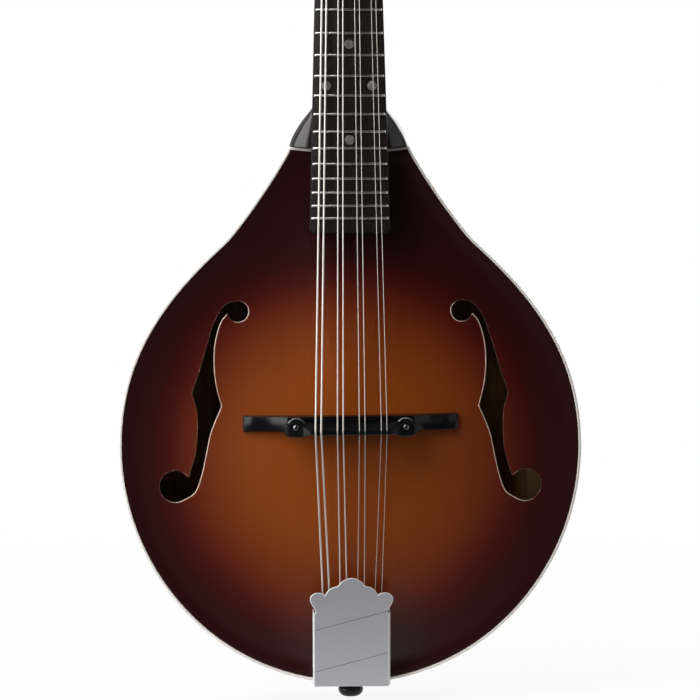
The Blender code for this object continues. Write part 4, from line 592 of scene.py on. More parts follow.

# %% [markdown]
# The sound holes are a pair of long f shapes. Each has a small upper eye, a larger lower eye and two
# nicks in the middle. A saw cuts them straight through, so a Boolean cut is the honest tool. The cut
# wood is darker. A rounded bead runs along the lip in a pale, half metallic finish that paints its
# highlight: a hair wide where the wood lies away from the middle of the top, and wider where it lies
# toward the middle or the tail.

# %% Sound holes
UPPER_EYE, UPPER_EYE_RADIUS = Vector((0.0599, -0.0878)), 0.0057
LOWER_EYE, LOWER_EYE_RADIUS = Vector((0.0940, -0.1815)), 0.0085
OUTER_EDGE = (((0.0625, -0.0823), (0.0672, -0.0848), (0.0724, -0.0929), (0.0763, -0.1049), (0.0798, -0.1169),
               (0.0848, -0.1315)),
              ((0.0848, -0.1315), (0.0822, -0.1410), (0.0818, -0.1520), (0.0830, -0.1640), (0.0867, -0.1764)))
INNER_EDGE = (((0.0899, -0.1890), (0.0833, -0.1845), (0.0797, -0.1751), (0.0772, -0.1639), (0.0745, -0.1520),
               (0.0689, -0.1385)),
              ((0.0689, -0.1385), (0.0718, -0.1272), (0.0729, -0.1160), (0.0723, -0.1049), (0.0694, -0.0942),
               (0.0656, -0.0890)))


def eye(centre, radius, start, end, steps):
    first = math.atan2(start[1] - centre.y, start[0] - centre.x)
    last = math.atan2(end[1] - centre.y, end[0] - centre.x)
    while last > first:
        last -= 2 * math.pi
    angles = [first + (last - first) * (i + 0.5) / steps for i in range(steps)]
    return [centre + Vector((math.cos(a), math.sin(a))) * radius for a in angles]


def hole_outline(side):
    points = through(OUTER_EDGE[0]) + through(OUTER_EDGE[1])[1:]
    points += eye(LOWER_EYE, LOWER_EYE_RADIUS, OUTER_EDGE[1][-1], INNER_EDGE[0][0], 26)
    points += through(INNER_EDGE[0]) + through(INNER_EDGE[1])[1:]
    points += eye(UPPER_EYE, UPPER_EYE_RADIUS, INNER_EDGE[1][-1], OUTER_EDGE[0][0], 20)
    return [Vector((side * p.x, p.y)) for p in points]


add_materials(top, sunburst, inner_spruce, hole_edge)
for name, side in reversed(SIDES):
    saw = prism("saw_" + name, hole_outline(side), -0.020, 0.030)
    add_materials(saw, hole_edge)
    combine(top, saw)
lay(top, BENCH)
finish(top, sunburst, stands_for=["top_plate"], angle=30)
print("sound holes cut, faces", len(top.data.polygons))

LIP_LEAST, LIP_SWELL = 0.00003, 0.00035
for name, side in reversed(SIDES):
    edge = hole_outline(side)
    path = []
    for point, moved in zip(edge, inset(edge, side * 0.0005)):
        into_wood = (point - moved).normalized()
        toward_middle = -side * into_wood.x * 0.85 - into_wood.y * 0.5
        eased = LIP_LEAST + LIP_SWELL * max(toward_middle, 0.0) ** 0.6
        spot = point + into_wood * eased * 0.8
        path.append((Vector((spot.x, spot.y, top_height(spot.x, spot.y) - eased * 0.8)), eased))
    rings = wire_rings([spot for spot, _ in path], 1.0, 12, closed=True)
    rings = [[spot + (point - spot) * eased for point in ring] for ring, (spot, eased) in zip(rings, path)]
    lip = skin("sound_hole_lip_" + name, rings, looped=True)
    finish(lay(lip, BENCH), lip_highlight_paint, angle=80)

# %% [markdown]
# The binding is a strip of cream plastic let into the top's edge, and it also crosses the neck end.
# Below it the ribs are bent maple, one band all round, and the back is carved like the top, with a
# small button that the heel stands on. Rounded outer corners are what makes the edge read as real.

# %% Binding, ribs and back
BINDING_PROFILE = ((0.0, -PLATE_EDGE), (0.0, -0.0008), (0.00015, -0.0003), (0.0005, 0.0), (0.0010, 0.00005),
                   (BINDING_WIDTH, 0.0), (BINDING_WIDTH, -PLATE_EDGE))
strips = [[(*p, z) for p in inset(TOP_EDGE, amount)] for amount, z in BINDING_PROFILE]
binding = skin("body_binding", strips, looped=True)
finish(lay(binding, BENCH), binding_cream, stands_for=["top_binding"], angle=50)

inner_edge = inset(EDGE, RIB_THICKNESS)
rib_rows = [(EDGE, RIB_TOP), (EDGE, RIB_BOTTOM), (inner_edge, RIB_BOTTOM), (inner_edge, RIB_TOP)]
ribs = skin("ribs", [[(*p, z) for p in outline] for outline, z in rib_rows], looped=True)
PIN_LEVEL = (RIB_TOP + RIB_BOTTOM) / 2
mortise = block((0.0166, 0.010, 0.040), (0, 0, PIN_LEVEL))
pin_hole = drum(0.0037, 0.020, (0, -BODY_LENGTH, PIN_LEVEL), turn=(math.pi / 2, 0, 0))
combine(ribs, mortise, pin_hole)
finish(lay(ribs, BENCH), dark_maple, stands_for=["rib_bass", "rib_treble"], angle=35)

ROUNDED_RIM = ((1.0, 0.0016), (0.9990, 0.0009), (0.9965, 0.0003), (0.9925, 0.0))
back = carved_plate("carved_back", EDGE, 0.0095, BACK_OUTER, -1, ROUNDED_RIM)
BUTTON_HALF, BUTTON_REACH = 0.0115, 0.0075
button_tip = [(BUTTON_HALF * math.cos(a), BUTTON_REACH * math.sin(a)) for a in (math.pi * i / 32 for i in range(33))]
button_edge = [(BUTTON_HALF, -PLATE_EDGE), *button_tip, (-BUTTON_HALF, -PLATE_EDGE)]
combine(back, prism("heel_button", button_edge, BACK_OUTER, BACK_INNER), operation="UNION")
add_materials(back, back_maple, inner_maple)
for polygon in back.data.polygons:
    polygon.material_index = 1 if polygon.normal.z > 0.1 and polygon.center.y < -0.004 else 0
finish(lay(back, BENCH), back_maple, stands_for=["back_plate"], angle=35)

for name, _ in SIDES:
    repaint(inner_spruce, "top_lining_" + name, "back_lining_" + name, "tone_bar_" + name)
repaint(bare_mahogany, "neck_block", "tail_block")
print("body closed")

# %% [markdown]
# The neck is one piece of wood. Under the board it is a flattened half round, and near the body it
# swells sideways into two cheeks and drops down into the heel. The headstock leans back behind the
# nut. The section is worked out at many places along the neck and skinned, then the headstock's slab
# is joined to it, so the volute between them is real.

# %% Neck, heel and headstock
NUT_WIDTH, BOARD_END_WIDTH = 0.0300, 0.0427
LAST_FRET = SCALE_LENGTH * (1 - 2 ** (-20 / 12))
BOARD_LENGTH = LAST_FRET + 0.0078
HEEL_REACH, HEEL_FOOT, HEEL_SWEEP = 0.0212, 0.0100, 0.0480
HEEL_ROWS = ((0.0, 0.62), (0.03, 0.75), (0.06, 0.855), (0.10, 0.945), (0.15, 1.0), (0.32, 0.985), (0.52, 0.90),
             (0.72, 0.74), (0.88, 0.55), (0.97, 0.42), (1.0, 0.36))
SECTION_ROWS = (0.0, 0.03, 0.06, 0.10, 0.15, 0.20, 0.27, 0.34, 0.42, 0.50, 0.58, 0.66, 0.74, 0.81, 0.87, 0.92, 0.96,
                0.985, 1.0)
SHAFT_AT_BODY, SHAFT_TAPER = 0.0170, 0.0025
HEAD_BACK, HEAD_TOP = -0.0153, -0.0023


def board_half(along):
    return (NUT_WIDTH + (BOARD_END_WIDTH - NUT_WIDTH) * (NUT_TO_JOINT - along) / BOARD_LENGTH) / 2


def heel_share(row):
    for (low, wide), (high, wider) in zip(HEEL_ROWS, HEEL_ROWS[1:]):
        if row <= high:
            return wide + (wider - wide) * (row - low) / (high - low)


def neck_section(along):
    """Half widths and drops below the board, where the heel's cheeks blend into the shaft."""
    cheek = 1 - clamped(along / HEEL_REACH) ** 1.55
    sweep = clamped((HEEL_SWEEP - along) / (HEEL_SWEEP - HEEL_FOOT)) ** 2.9
    shaft_depth = SHAFT_AT_BODY - SHAFT_TAPER * clamped(along / NUT_TO_JOINT)
    heel_depth = BOARD_HEIGHT + WOOD_TOP - BACK_INNER + PLATE_EDGE
    depth = shaft_depth + (heel_depth - shaft_depth) * sweep
    rows = []
    for row in SECTION_ROWS:
        shaft = board_half(along) * max(1 - row ** 2.3, 0.0) ** 0.45
        heel = max(NECK_END_HALF * 2 * heel_share(row), 0.0220) / 2 if row else board_half(along)
        rows.append((max(shaft + (heel - shaft) * cheek, 0.0015), -row * depth))
    return rows


def neck_ring(along, top, rows):
    return ([(half, along, top + drop) for half, drop in rows]
            + [(-half, along, top + drop) for half, drop in reversed(rows)])


stations = [-0.006 + 0.0018 * i for i in range(16)] + [0.0240 + 0.0030 * i for i in range(9)]
stations += [0.056, 0.070, 0.090, 0.110, 0.130, 0.150, 0.170, 0.190, NUT_TO_JOINT, NUT_BACK]
rings = [neck_ring(along, WOOD_TOP, neck_section(along)) for along in stations]
at_nut = neck_section(NUT_BACK)
for past, narrow, lower in through(((0.0003, 1.0, 0.0007), (0.0080, 0.98, 0.0036), (0.0140, 0.88, 0.0058),
                                    (0.0210, 0.55, 0.0087)), 5):
    keep = 1 + lower / at_nut[-1][1] * 0.62
    rings.append(neck_ring(NUT_BACK + past, WOOD_TOP - lower, [(half * narrow, drop * keep) for half, drop in at_nut]))
neck = lay(skin("neck_wood", rings), NECK)
select_only(neck)
bpy.ops.object.mode_set(mode="EDIT")
bpy.ops.mesh.select_all(action="SELECT")
bpy.ops.mesh.bisect(plane_co=BENCH @ Vector((0, 0, BACK_INNER + CLEARANCE)),
                    plane_no=BENCH.to_3x3() @ Vector((0, 0, -1)), use_fill=True, clear_outer=True)
bpy.ops.object.mode_set(mode="OBJECT")
neck_end = [(0.0, CLEARANCE - NECK_END_DIP), (-NECK_END_HALF, CLEARANCE), (-0.06, CLEARANCE), (-0.06, -0.02),
            (0.06, -0.02), (0.06, CLEARANCE), (NECK_END_HALF, CLEARANCE)]
combine(neck, lay(prism("neck_end_saw", neck_end, -0.08, 0.03), BENCH))

HEAD_SIDE = ((0.0155, 0.0), (0.0168, 0.0060), (0.0228, 0.0180), (0.0285, 0.0290), (0.0300, 0.0420), (0.0302, 0.0750),
             (0.0308, 0.1080), (0.0322, 0.1330), (0.0318, 0.1450))
HEAD_CREST = ((0.0318, 0.1450), (0.0260, 0.1500), (0.0190, 0.1505), (0.0120, 0.1530), (0.0060, 0.1570), (0.0, 0.1585))
head_edge = mirrored(through(HEAD_SIDE, 5) + through(HEAD_CREST, 6)[1:])
POST_OUT, POST_FIRST, POST_STEP = 0.0190, 0.0480, 0.0230
POSTS = [(side * POST_OUT, POST_FIRST + POST_STEP * i) for _, side in SIDES for i in range(4)]


def head_drills():
    """Eight post holes and the pocket of the truss rod's nut."""
    drills = [lay(drum(0.0036, 0.060), HEAD @ Matrix.Translation((x, y, 0))) for x, y in POSTS]
    low, high, start, end = -0.0135, 0.0130, NUT_BACK + 0.0012, NUT_BACK + 0.0190
    place = Matrix.Translation((0, (start + end) / 2, (low + high) / 2))
    return drills + [lay(block(), NECK @ place @ Matrix.Diagonal((0.0090, end - start, high - low, 1)))]


slab = prism("head_slab", head_edge, HEAD_BACK, HEAD_TOP)
bevel(slab, 0.0009, 3, 60)
combine(neck, lay(slab, HEAD), operation="UNION")
combine(neck, *head_drills())
finish(neck, neck_lacquer, stands_for=["neck"], angle=40)

overlay = prism("head_face", head_edge, -FACE_THICKNESS, 0.0)
bevel(overlay, 0.0004, 2, 60)
combine(lay(overlay, HEAD), *head_drills())
finish(overlay, black_gloss, stands_for=["headstock_overlay"], angle=30)
print("neck joined, faces", len(neck.data.polygons))

# %% [markdown]
# The fingerboard is a dark plank with twenty frets at the places that equal temperament gives: each
# is the scale length times one minus two to the power of minus its number over twelve, from the nut.
# One fret is modelled as a rounded crown with sloped ends, and every other is a copy stretched to
# the board's width there. Shell dots mark the usual frets on the face, and small ones on the side.

# %% Fingerboard, frets and dots
board_end = NUT_TO_JOINT - BOARD_LENGTH
end_half = board_half(board_end)
CORNER = 0.0024
corner = [Vector((end_half - CORNER + CORNER * math.cos(a), board_end + CORNER - CORNER * math.sin(a)))
          for a in (math.pi / 2 * i / 8 for i in range(9))]
nut_end = NUT_TO_JOINT - CLEARANCE
plan = [Vector((0.0, nut_end)), Vector((board_half(nut_end), nut_end))] + corner + [Vector((0.0, board_end))]
board = prism("fingerboard_wood", mirrored(plan), -BOARD_THICKNESS, 0.0)
bevel(board, 0.0003, 2, 50)
finish(lay(board, NECK), rosewood, stands_for=["fingerboard"], angle=40)


def fret_place(number):
    return NUT_TO_JOINT - SCALE_LENGTH * (1 - 2 ** (-number / 12))


crown = [(0.0007 * math.cos(math.pi * i / 10), 0.0010 * math.sin(math.pi * i / 10) ** 0.8) for i in range(11)]
crown = [(0.0007, -0.0003)] + crown + [(-0.0007, -0.0003)]
crown_steps = ((-1.0, 0.15), (-0.97, 0.8), (-0.955, 1.0), (0.955, 1.0), (0.97, 0.8), (1.0, 0.15))
fret = skin("fret_pattern", [[(x, y, z * tall if z > 0 else z) for y, z in crown] for x, tall in crown_steps])
for number in range(1, 21):
    along = fret_place(number)
    stretch = Matrix.Diagonal((board_half(along) - 0.0006, 1, 1, 1))
    copy = twin(fret, "fret_%02d" % number, NECK @ Matrix.Translation((0, along, 0)) @ stretch)
    finish(copy, fret_metal, angle=50)
discard(fret)

dot = turned("dot_pattern", [(0.0025, -0.0006), (0.0025, 0.00003), (0.00242, 0.00006), (0.0012, 0.00008)], 40)
side_dot = turned("side_dot_pattern", [(0.0009, -0.0006), (0.0009, 0.00004), (0.0007, 0.00008)], 20)
for number, offset in ((3, 0.0), (5, 0.0), (7, 0.0), (10, 0.0), (12, -0.0121), (12, 0.0121), (15, 0.0)):
    along = (fret_place(number) + fret_place(number - 1)) / 2
    name = "board_dot_%d_%s" % (number, "bass" if offset < 0 else "treble" if offset else "middle")
    finish(twin(dot, name, NECK @ Matrix.Translation((offset, along, 0))), shell_dot, angle=40)
    if offset <= 0:
        lean = math.atan((BOARD_END_WIDTH - NUT_WIDTH) / 2 / BOARD_LENGTH)
        facing = Matrix.Rotation(-math.pi / 2, 4, "Y") @ Matrix.Rotation(-lean, 4, "X")
        spot = NECK @ Matrix.Translation((-board_half(along), along, -0.0022)) @ facing
        finish(twin(side_dot, "side_dot_%d" % number, spot), shell_dot, angle=40)
discard(dot, side_dot)

finish(refined("fingerboard_riser", "board_riser", 0.0), ebony, stands_for=["fingerboard_riser"])
finish(refined("nut", "bone_nut", 0.00025), bone, stands_for=["nut"])
print("board end at", round(board_end, 4))

# %% [markdown]
# The bridge is two pieces of ebony. The base follows the arch, and the slotted saddle rides above it
# on two threaded studs, held up by knurled wheels. The wheels are what a player turns to set the
# strings' height, so they and the saddle are separate bodies in the frame.

# %% Bridge
saddle_on_bench = neck_on_bench @ Vector((0, NUT_TO_JOINT - SCALE_LENGTH, 0.0044))
WHEEL_HEIGHT, STUD_OUT = 0.0030, 0.0289
SADDLE_BOTTOM = saddle_on_bench.z - 0.0078
WHEEL_BOTTOM = SADDLE_BOTTOM - CLEARANCE - WHEEL_HEIGHT
BRIDGE_SLANT = Matrix.Rotation(math.radians(0.45), 4, "Z")
bridge_spot = BENCH @ Matrix.Translation((0, saddle_on_bench.y, 0))
COURSE_WIRES = (0.00102, 0.00066, 0.00038, 0.00027)


def spread(course_step, pair_step):
    return [course * course_step + half * pair_step for course in (-1.5, -0.5, 0.5, 1.5) for half in (-0.5, 0.5)]


AT_NUT, AT_SADDLE, AT_HOOKS = spread(0.00717, 0.0022), spread(0.01153, 0.0030), spread(0.0085, 0.0037)
WIRES = [wire for wire in COURSE_WIRES for _ in range(2)]

base = refined("bridge_base", "bridge_foot", 0.00035, 30)
lay(base, bridge_spot @ Matrix.Translation((0, 0.0015, 0)) @ BRIDGE_SLANT @ bridge_spot.inverted())
finish(base, ebony, stands_for=["bridge_base"], angle=35)

SADDLE_TAIL, SADDLE_FRONT, RIDGE_WIDTH, LEDGE = -0.0037, 0.0027, 0.0028, 0.0030
SADDLE_ENDS = ((0.0240, 0.0058), (0.02525, 0.0052), (0.0265, 0.0049), (0.0278, 0.0046), (0.0290, 0.0044),
               (0.0302, 0.0041), (0.0314, 0.0038), (0.0325, 0.0036), (0.0337, 0.0032), (0.0346, 0.0028),
               (0.0352, 0.0020))
SLOT_DEPTH, SLOT_SIDE = 0.0004, 0.0002
crest = saddle_on_bench.z
side_stations = [(0.0210, crest + SLOT_DEPTH), (0.0228, crest - 0.0006)]
side_stations += [(x, SADDLE_BOTTOM + up) for x, up in SADDLE_ENDS]
slots = []
for x, wire in zip(AT_SADDLE, WIRES):
    half = wire / 2
    slots += [(x - half - SLOT_SIDE, crest + SLOT_DEPTH), (x - half, crest), (x + half, crest),
              (x + half + SLOT_SIDE, crest + SLOT_DEPTH)]
stations = [(-x, z) for x, z in reversed(side_stations)] + slots + side_stations
rings = []
for x, z in stations:
    narrow = 0.0008 if abs(x) > 0.0350 else 0.0002 if abs(x) > 0.0340 else 0.0
    rise = clamped((z - SADDLE_BOTTOM - LEDGE) / (crest - SADDLE_BOTTOM - LEDGE))
    front = SADDLE_FRONT - narrow + (SADDLE_TAIL + RIDGE_WIDTH - SADDLE_FRONT) * rise
    tail = SADDLE_TAIL + narrow - 0.0012 * max(1 - ((abs(x) - STUD_OUT) / 0.0056) ** 2, 0.0) ** 0.5
    rings.append([(x, tail, SADDLE_BOTTOM), (x, tail, z - 0.0004), (x, tail + 0.0004, z), (x, front - 0.0005, z),
                  (x, front, z - 0.0005), (x, SADDLE_FRONT - narrow, min(SADDLE_BOTTOM + LEDGE, z - 0.0006)),
                  (x, SADDLE_FRONT - narrow, SADDLE_BOTTOM)])
saddle_piece = skin("bridge_crown", rings)
combine(saddle_piece, *[drum(0.0020, 0.060, (side * STUD_OUT, 0, crest), 24) for _, side in SIDES])
finish(lay(saddle_piece, bridge_spot @ BRIDGE_SLANT), ebony, "saddle", ["bridge_saddle"], angle=30)

WHEEL_RADIUS, WHEEL_BORE, KNURL_DEPTH, WHEEL_SIDES = 0.0052, 0.00195, 0.00032, 120
wheel_rings = []
for z, share in ((0.0, 0.90), (0.00015, 0.96), (0.0004, 1.0), (0.0026, 1.0), (0.00285, 0.96), (WHEEL_HEIGHT, 0.90)):
    radii = [WHEEL_RADIUS * share - (KNURL_DEPTH if i % 4 in (0, 1) else 0.0) for i in range(WHEEL_SIDES)]
    wheel_rings.append(circle(radii, z))
wheel_rings += circles([(WHEEL_BORE, WHEEL_HEIGHT), (WHEEL_BORE, 0.0)], WHEEL_SIDES)
wheel = skin("wheel_pattern", wheel_rings, looped=True)

STUD_RADIUS, THREAD_PITCH = 0.00165, 0.0007
STUD_TIP = ((STUD_RADIUS, -0.0005), (0.00135, -0.0001), (0.0008, 0.0001), (0.0003, 0.00015))
stud_profile = [(STUD_RADIUS, 0.0)]
stud_bottom = WHEEL_BOTTOM - 0.0008 - 0.0045
stud_length = SADDLE_BOTTOM + 0.0042 - stud_bottom
for i in range(int((stud_length - 0.0006) / THREAD_PITCH)):
    stud_profile += [(STUD_RADIUS, 0.0001 + THREAD_PITCH * i), (0.0014, 0.00045 + THREAD_PITCH * i)]
stud_profile += [(radius, stud_length + up) for radius, up in STUD_TIP]
stud = turned("stud_pattern", stud_profile, 24)
for name, side in SIDES:
    spot = BENCH @ Matrix.Translation((side * STUD_OUT, saddle_on_bench.y, WHEEL_BOTTOM))
    piece = twin(wheel, "knurled_wheel_" + name, spot)
    finish(piece, dark_nickel, "wheel_" + name, ["thumbwheel_" + name], 30)
    spot = BENCH @ Matrix.Translation((side * STUD_OUT, saddle_on_bench.y, stud_bottom))
    piece = twin(stud, "threaded_stud_" + name, spot)
    finish(piece, dark_nickel, "root", ["bridge_stud_" + name], 50)
discard(wheel, stud)
print("saddle at", [round(v, 4) for v in saddle_on_bench])

# %% [markdown]
# The tailpiece has a bent base with eight hooks and a cover that slides over it. The cover is sheet
# metal with rounded bends at its sides and a scrolled crest toward the bridge. The sides are one
# section pulled along the cover, and the crest is cut from flat sheet and joined on. Two fine ruled
# lines cross the bare face.

# %% Tailpiece and end pin
tail_base = refined("tailpiece_base", "tail_base", 0.0002)
LIP_GROWTH = 0.0011
lip_level = (BENCH @ Vector((0, -BODY_LENGTH - 0.0002, 0))).z
for vert in tail_base.data.vertices:
    if vert.co.z < lip_level:
        vert.co.z += LIP_GROWTH
finish(tail_base, worn_steel, stands_for=["tailpiece_base"])

COVER_HALF, SHEET, HEADROOM, BEND = 0.02065, 0.0006, 0.0070, 0.0010
COVER_START, WALL_END, WALL_FOOT = 0.0011, 0.0416, -0.0009
CROWN = HEADROOM + SHEET
FACE_HALF = COVER_HALF - BEND
SHOULDERS = ((0.0192, 0.0423), (0.0201, 0.0443), (0.0215, 0.0468), (0.0222, 0.0491), (0.0215, 0.0512),
             (0.0197, 0.0525), (0.0173, 0.0528), (0.0149, 0.0523))
CREST = ((0.01405, 0.0515), (0.01335, 0.0527), (0.0122, 0.0543), (0.0103, 0.0556), (0.0080, 0.0562))
CREST_LOBE = ((0.0067, 0.0569), (0.0060, 0.0582), (0.0042, 0.0595), (0.0023, 0.0605), (0.0, 0.0609))
face_edge = [Vector((0.0, COVER_START)), Vector((FACE_HALF, COVER_START)), Vector((FACE_HALF, WALL_END))]
face_edge += through(SHOULDERS, 3) + through(CREST, 3) + through(CREST_LOBE, 3)
cover = prism("cover_sheet", mirrored(face_edge), HEADROOM, CROWN)
add_materials(cover, satin_cover, edge_highlight_paint)
select_only(cover)
bpy.ops.object.mode_set(mode="EDIT")
bpy.ops.mesh.select_mode(type="EDGE")
bpy.ops.mesh.select_all(action="DESELECT")
shape = bmesh.from_edit_mesh(cover.data)
for edge in shape.edges:
    edge.select = all(v.co.z > CROWN - 1e-6 and v.co.y > WALL_END - 1e-6 for v in edge.verts)
bmesh.update_edit_mesh(cover.data)
# The crest's top edges are bevelled in the second finish, whose near-white paints the bright line of a polished edge.
bpy.ops.mesh.bevel(offset=0.00042, segments=2, affect="EDGES", material=1)
bpy.ops.object.mode_set(mode="OBJECT")

walls = []
quarter = [(math.sin(a), math.cos(a)) for a in (math.pi / 2 * i / 8 for i in range(9))]
for _, side in SIDES:
    rings = []
    for y, tuck in ((COVER_START, 0.0009), (COVER_START + 0.0012, 0.0), (WALL_END, 0.0)):
        outer = [(FACE_HALF + (BEND - tuck) * across, CROWN - BEND + BEND * up) for across, up in quarter]
        inner = [(FACE_HALF + (BEND - tuck) * across * 0.47, HEADROOM - BEND + SHEET + (BEND - SHEET) * up)
                 for across, up in quarter]
        foot = [(outer[-1][0], WALL_FOOT), (inner[-1][0], WALL_FOOT)]
        rings.append([(side * x, y, z) for x, z in outer + foot + inner[::-1]])
    walls.append(skin("cover_wall", rings))
select_only(*walls, cover)
bpy.ops.object.join()
finish(lay(cover, TAIL), satin_cover, "tail_cover", ["tailpiece_cover"], 12)

RULE_REACH, RULE_HALF = 0.0196, 0.00020
RULE_SECTION = ((-1, -0.0001), (-0.6, 0.00002), (0.6, 0.00002), (1, -0.0001))
for name, low, high in (("upper", 0.0321, 0.0427), ("lower", 0.0091, 0.0198)):
    start, end = Vector((-RULE_REACH, low)), Vector((RULE_REACH, high))
    side_step = Vector((-(end - start).y, (end - start).x)).normalized() * RULE_HALF
    ends = [[(*(spot + side_step * way), CROWN + rise) for way, rise in RULE_SECTION] for spot in (start, end)]
    finish(lay(skin("ruled_line_" + name, ends), TAIL), engraving, "tail_cover")

pin_profile = through([(0.0050, 0.0018), (0.0050, 0.0036), (0.0062, 0.0049), (0.0067, 0.0058), (0.0068, 0.0068),
                       (0.0063, 0.0082), (0.0051, 0.0095), (0.0036, 0.0102), (0.0010, 0.0104)], 4)
pin_profile = [Vector((0.0027, -0.0180)), Vector((0.0034, -0.0144)), Vector((0.0034, 0.0018))] + pin_profile
pin = turned("strap_pin", pin_profile, 48)
spot = BENCH @ Matrix.Translation((0, -BODY_LENGTH, PIN_LEVEL)) @ Matrix.Rotation(math.pi / 2, 4, "X")
finish(lay(pin, spot), ebony, stands_for=["end_pin"], angle=40)
print("cover and pin made")

# %% [markdown]
# Each tuning machine is a worm on a shaft, turned by a button, that drives a toothed wheel on the
# string's post. The thread's radius depends on the angle and the height together, so rings of points
# that follow that rule give a true helix. One post, gear, worm and button are modelled and copied
# for the eight places.

# %% Tuning machines
GEAR_TEETH, WORM_PITCH, WORM_RADIUS = 14, 0.0019, 0.0021
TOOTH_OUT, TOOTH_IN, TOOTH_FOOT, TOOTH_TIP, GEAR_HALF = 0.00052, 0.00072, 0.0006, 0.0002, 0.0010
GEAR_RADIUS = GEAR_TEETH * WORM_PITCH / (2 * math.pi)
PLATE_BACK = HEAD_BACK - CLEARANCE - 0.0010
GEAR_LEVEL = PLATE_BACK - CLEARANCE - WORM_RADIUS - TOOTH_OUT
CENTRES = GEAR_RADIUS + WORM_RADIUS
WRAP_START, WRAP_GAP, WRAP_SPARE, TURN_STEPS = 0.0062, 0.00018, 0.00046, 28
POST_RADIUS, POST_WAIST = 0.0030, 0.0026


def thread_radius(share):
    """Radius at a share of one pitch from the crest's middle."""
    away = abs((share + 0.5) % 1.0 - 0.5) * WORM_PITCH
    root, tip = WORM_RADIUS - TOOTH_IN + 0.00005, WORM_RADIUS + TOOTH_OUT
    slope = (0.00060 - away) / 0.00040
    return root + (tip - root) * clamped(slope)


WORM_SIDES, WORM_STEPS, WORM_HALF, SHAFT = 28, 60, 0.0029, 0.00095
worm_rings = circles([(0.0007, -0.0053), (SHAFT, -0.0051), (SHAFT, -WORM_HALF - 0.0001)], WORM_SIDES)
for i in range(WORM_STEPS + 1):
    z = -WORM_HALF + 2 * WORM_HALF * i / WORM_STEPS
    worm_rings.append(circle([thread_radius(z / WORM_PITCH - k / WORM_SIDES) for k in range(WORM_SIDES)], z))
worm_rings += circles([(SHAFT, WORM_HALF), (SHAFT, 0.0190), (0.0017, 0.0192)], WORM_SIDES)
worm = skin("worm_pattern", worm_rings)


def squared(value):
    """Keeps the sign and fills an oval out toward its corners."""
    return math.copysign(abs(value) ** 0.8, value)


KNOB_START, KNOB_LENGTH, KNOB_WIDTH, KNOB_THICKNESS, KNOB_SIDES = 0.0190, 0.0140, 0.0070, 0.0040, 40
knob_steps = through(((0.0, 0.34, 0.55), (0.06, 0.40, 0.60), (0.18, 0.60, 0.80), (0.48, 0.95, 1.0), (0.70, 1.0, 1.0),
                      (0.90, 0.78, 0.85), (0.97, 0.58, 0.66), (1.0, 0.36, 0.40)), 4)
oval = [(squared(math.cos(a)), squared(math.sin(a)))
        for a in (2 * math.pi * k / KNOB_SIDES for k in range(KNOB_SIDES))]
knob = skin("knob_pattern", [[(x * wide * KNOB_WIDTH, y * thick * KNOB_THICKNESS, KNOB_START + share * KNOB_LENGTH)
                              for x, y in oval] for share, wide, thick in knob_steps])


def gear_outline(twist):
    tip, root = GEAR_RADIUS + TOOTH_OUT, GEAR_RADIUS - TOOTH_IN
    points = []
    for tooth in range(GEAR_TEETH):
        middle = -math.pi / 2 + (tooth + 0.5) * 2 * math.pi / GEAR_TEETH + twist
        for angle, radius in ((-TOOTH_FOOT / root, root), (-TOOTH_TIP / tip, tip), (TOOTH_TIP / tip, tip),
                              (TOOTH_FOOT / root, root)):
            points.append((radius * math.cos(middle + angle), radius * math.sin(middle + angle)))
    return points


twist = GEAR_HALF * WORM_PITCH / (2 * math.pi * WORM_RADIUS) / GEAR_RADIUS
gear = skin("gear_pattern", [[(x, y, GEAR_LEVEL + way * GEAR_HALF) for x, y in gear_outline(way * twist)]
                             for way in (-1, -0.5, 0, 0.5, 1)])
bevel(gear, 0.00008, 1, 60)
hub = GEAR_RADIUS - TOOTH_IN - 0.0002
post_profile = [(0.0016, GEAR_LEVEL - 0.0013), (0.0020, GEAR_LEVEL - 0.0010), (hub, GEAR_LEVEL - 0.0009),
                (hub, GEAR_LEVEL), (hub, PLATE_BACK - CLEARANCE), (POST_RADIUS, PLATE_BACK - CLEARANCE),
                (POST_RADIUS, WRAP_START - 0.0024), (0.00292, WRAP_START - 0.0021),
                (POST_WAIST, WRAP_START - 0.0011), (POST_WAIST, 0.0108), (0.00292, 0.0117), (POST_RADIUS, 0.0120),
                (0.0029, 0.0127), (0.0024, 0.0130), (0.0010, 0.0130)]
post = turned("post_pattern", post_profile, 40)
bushing_profile = ((0.0034, 0.0001), (0.0048, 0.0001), (0.0048, 0.0005), (0.0044, 0.0010), (0.0038, 0.0012),
                   (0.0034, 0.0011))
bushing = skin("bushing_pattern", circles(bushing_profile, 40), looped=True)
print("gear radius", round(GEAR_RADIUS * 1000, 2), "mm")

# %% [markdown]
# A string is wound round its post from the nut side, two turns, and its end goes into the post. The
# turn starts where a line from the nut touches the winding, which is plain geometry: an arc cosine
# of the radius over the distance. The windings belong to the posts, and the straight runs do not.

# %% Posts, windings, worms and buttons
STRING_AT_POST = (0, 1, 2, 3, 7, 6, 5, 4)
wire_finish = [wound_wire] * 4 + [plain_wire] * 4


def nut_exit(string):
    """Where a string leaves the nut toward its post, seen from the headstock."""
    return HEAD.inverted() @ (NECK @ Vector((AT_NUT[string], NUT_BACK, STRING_OVER_NUT)))


def leaving(index):
    """A post's string, winding radius, the angle where the string meets it, and its side."""
    string = STRING_AT_POST[index]
    radius = POST_WAIST + WIRES[string] / 2 + WRAP_GAP
    toward = nut_exit(string).xy - Vector(POSTS[index])
    side = -1 if POSTS[index][0] < 0 else 1
    return string, radius, math.atan2(toward.y, toward.x) - side * math.acos(radius / toward.length), side


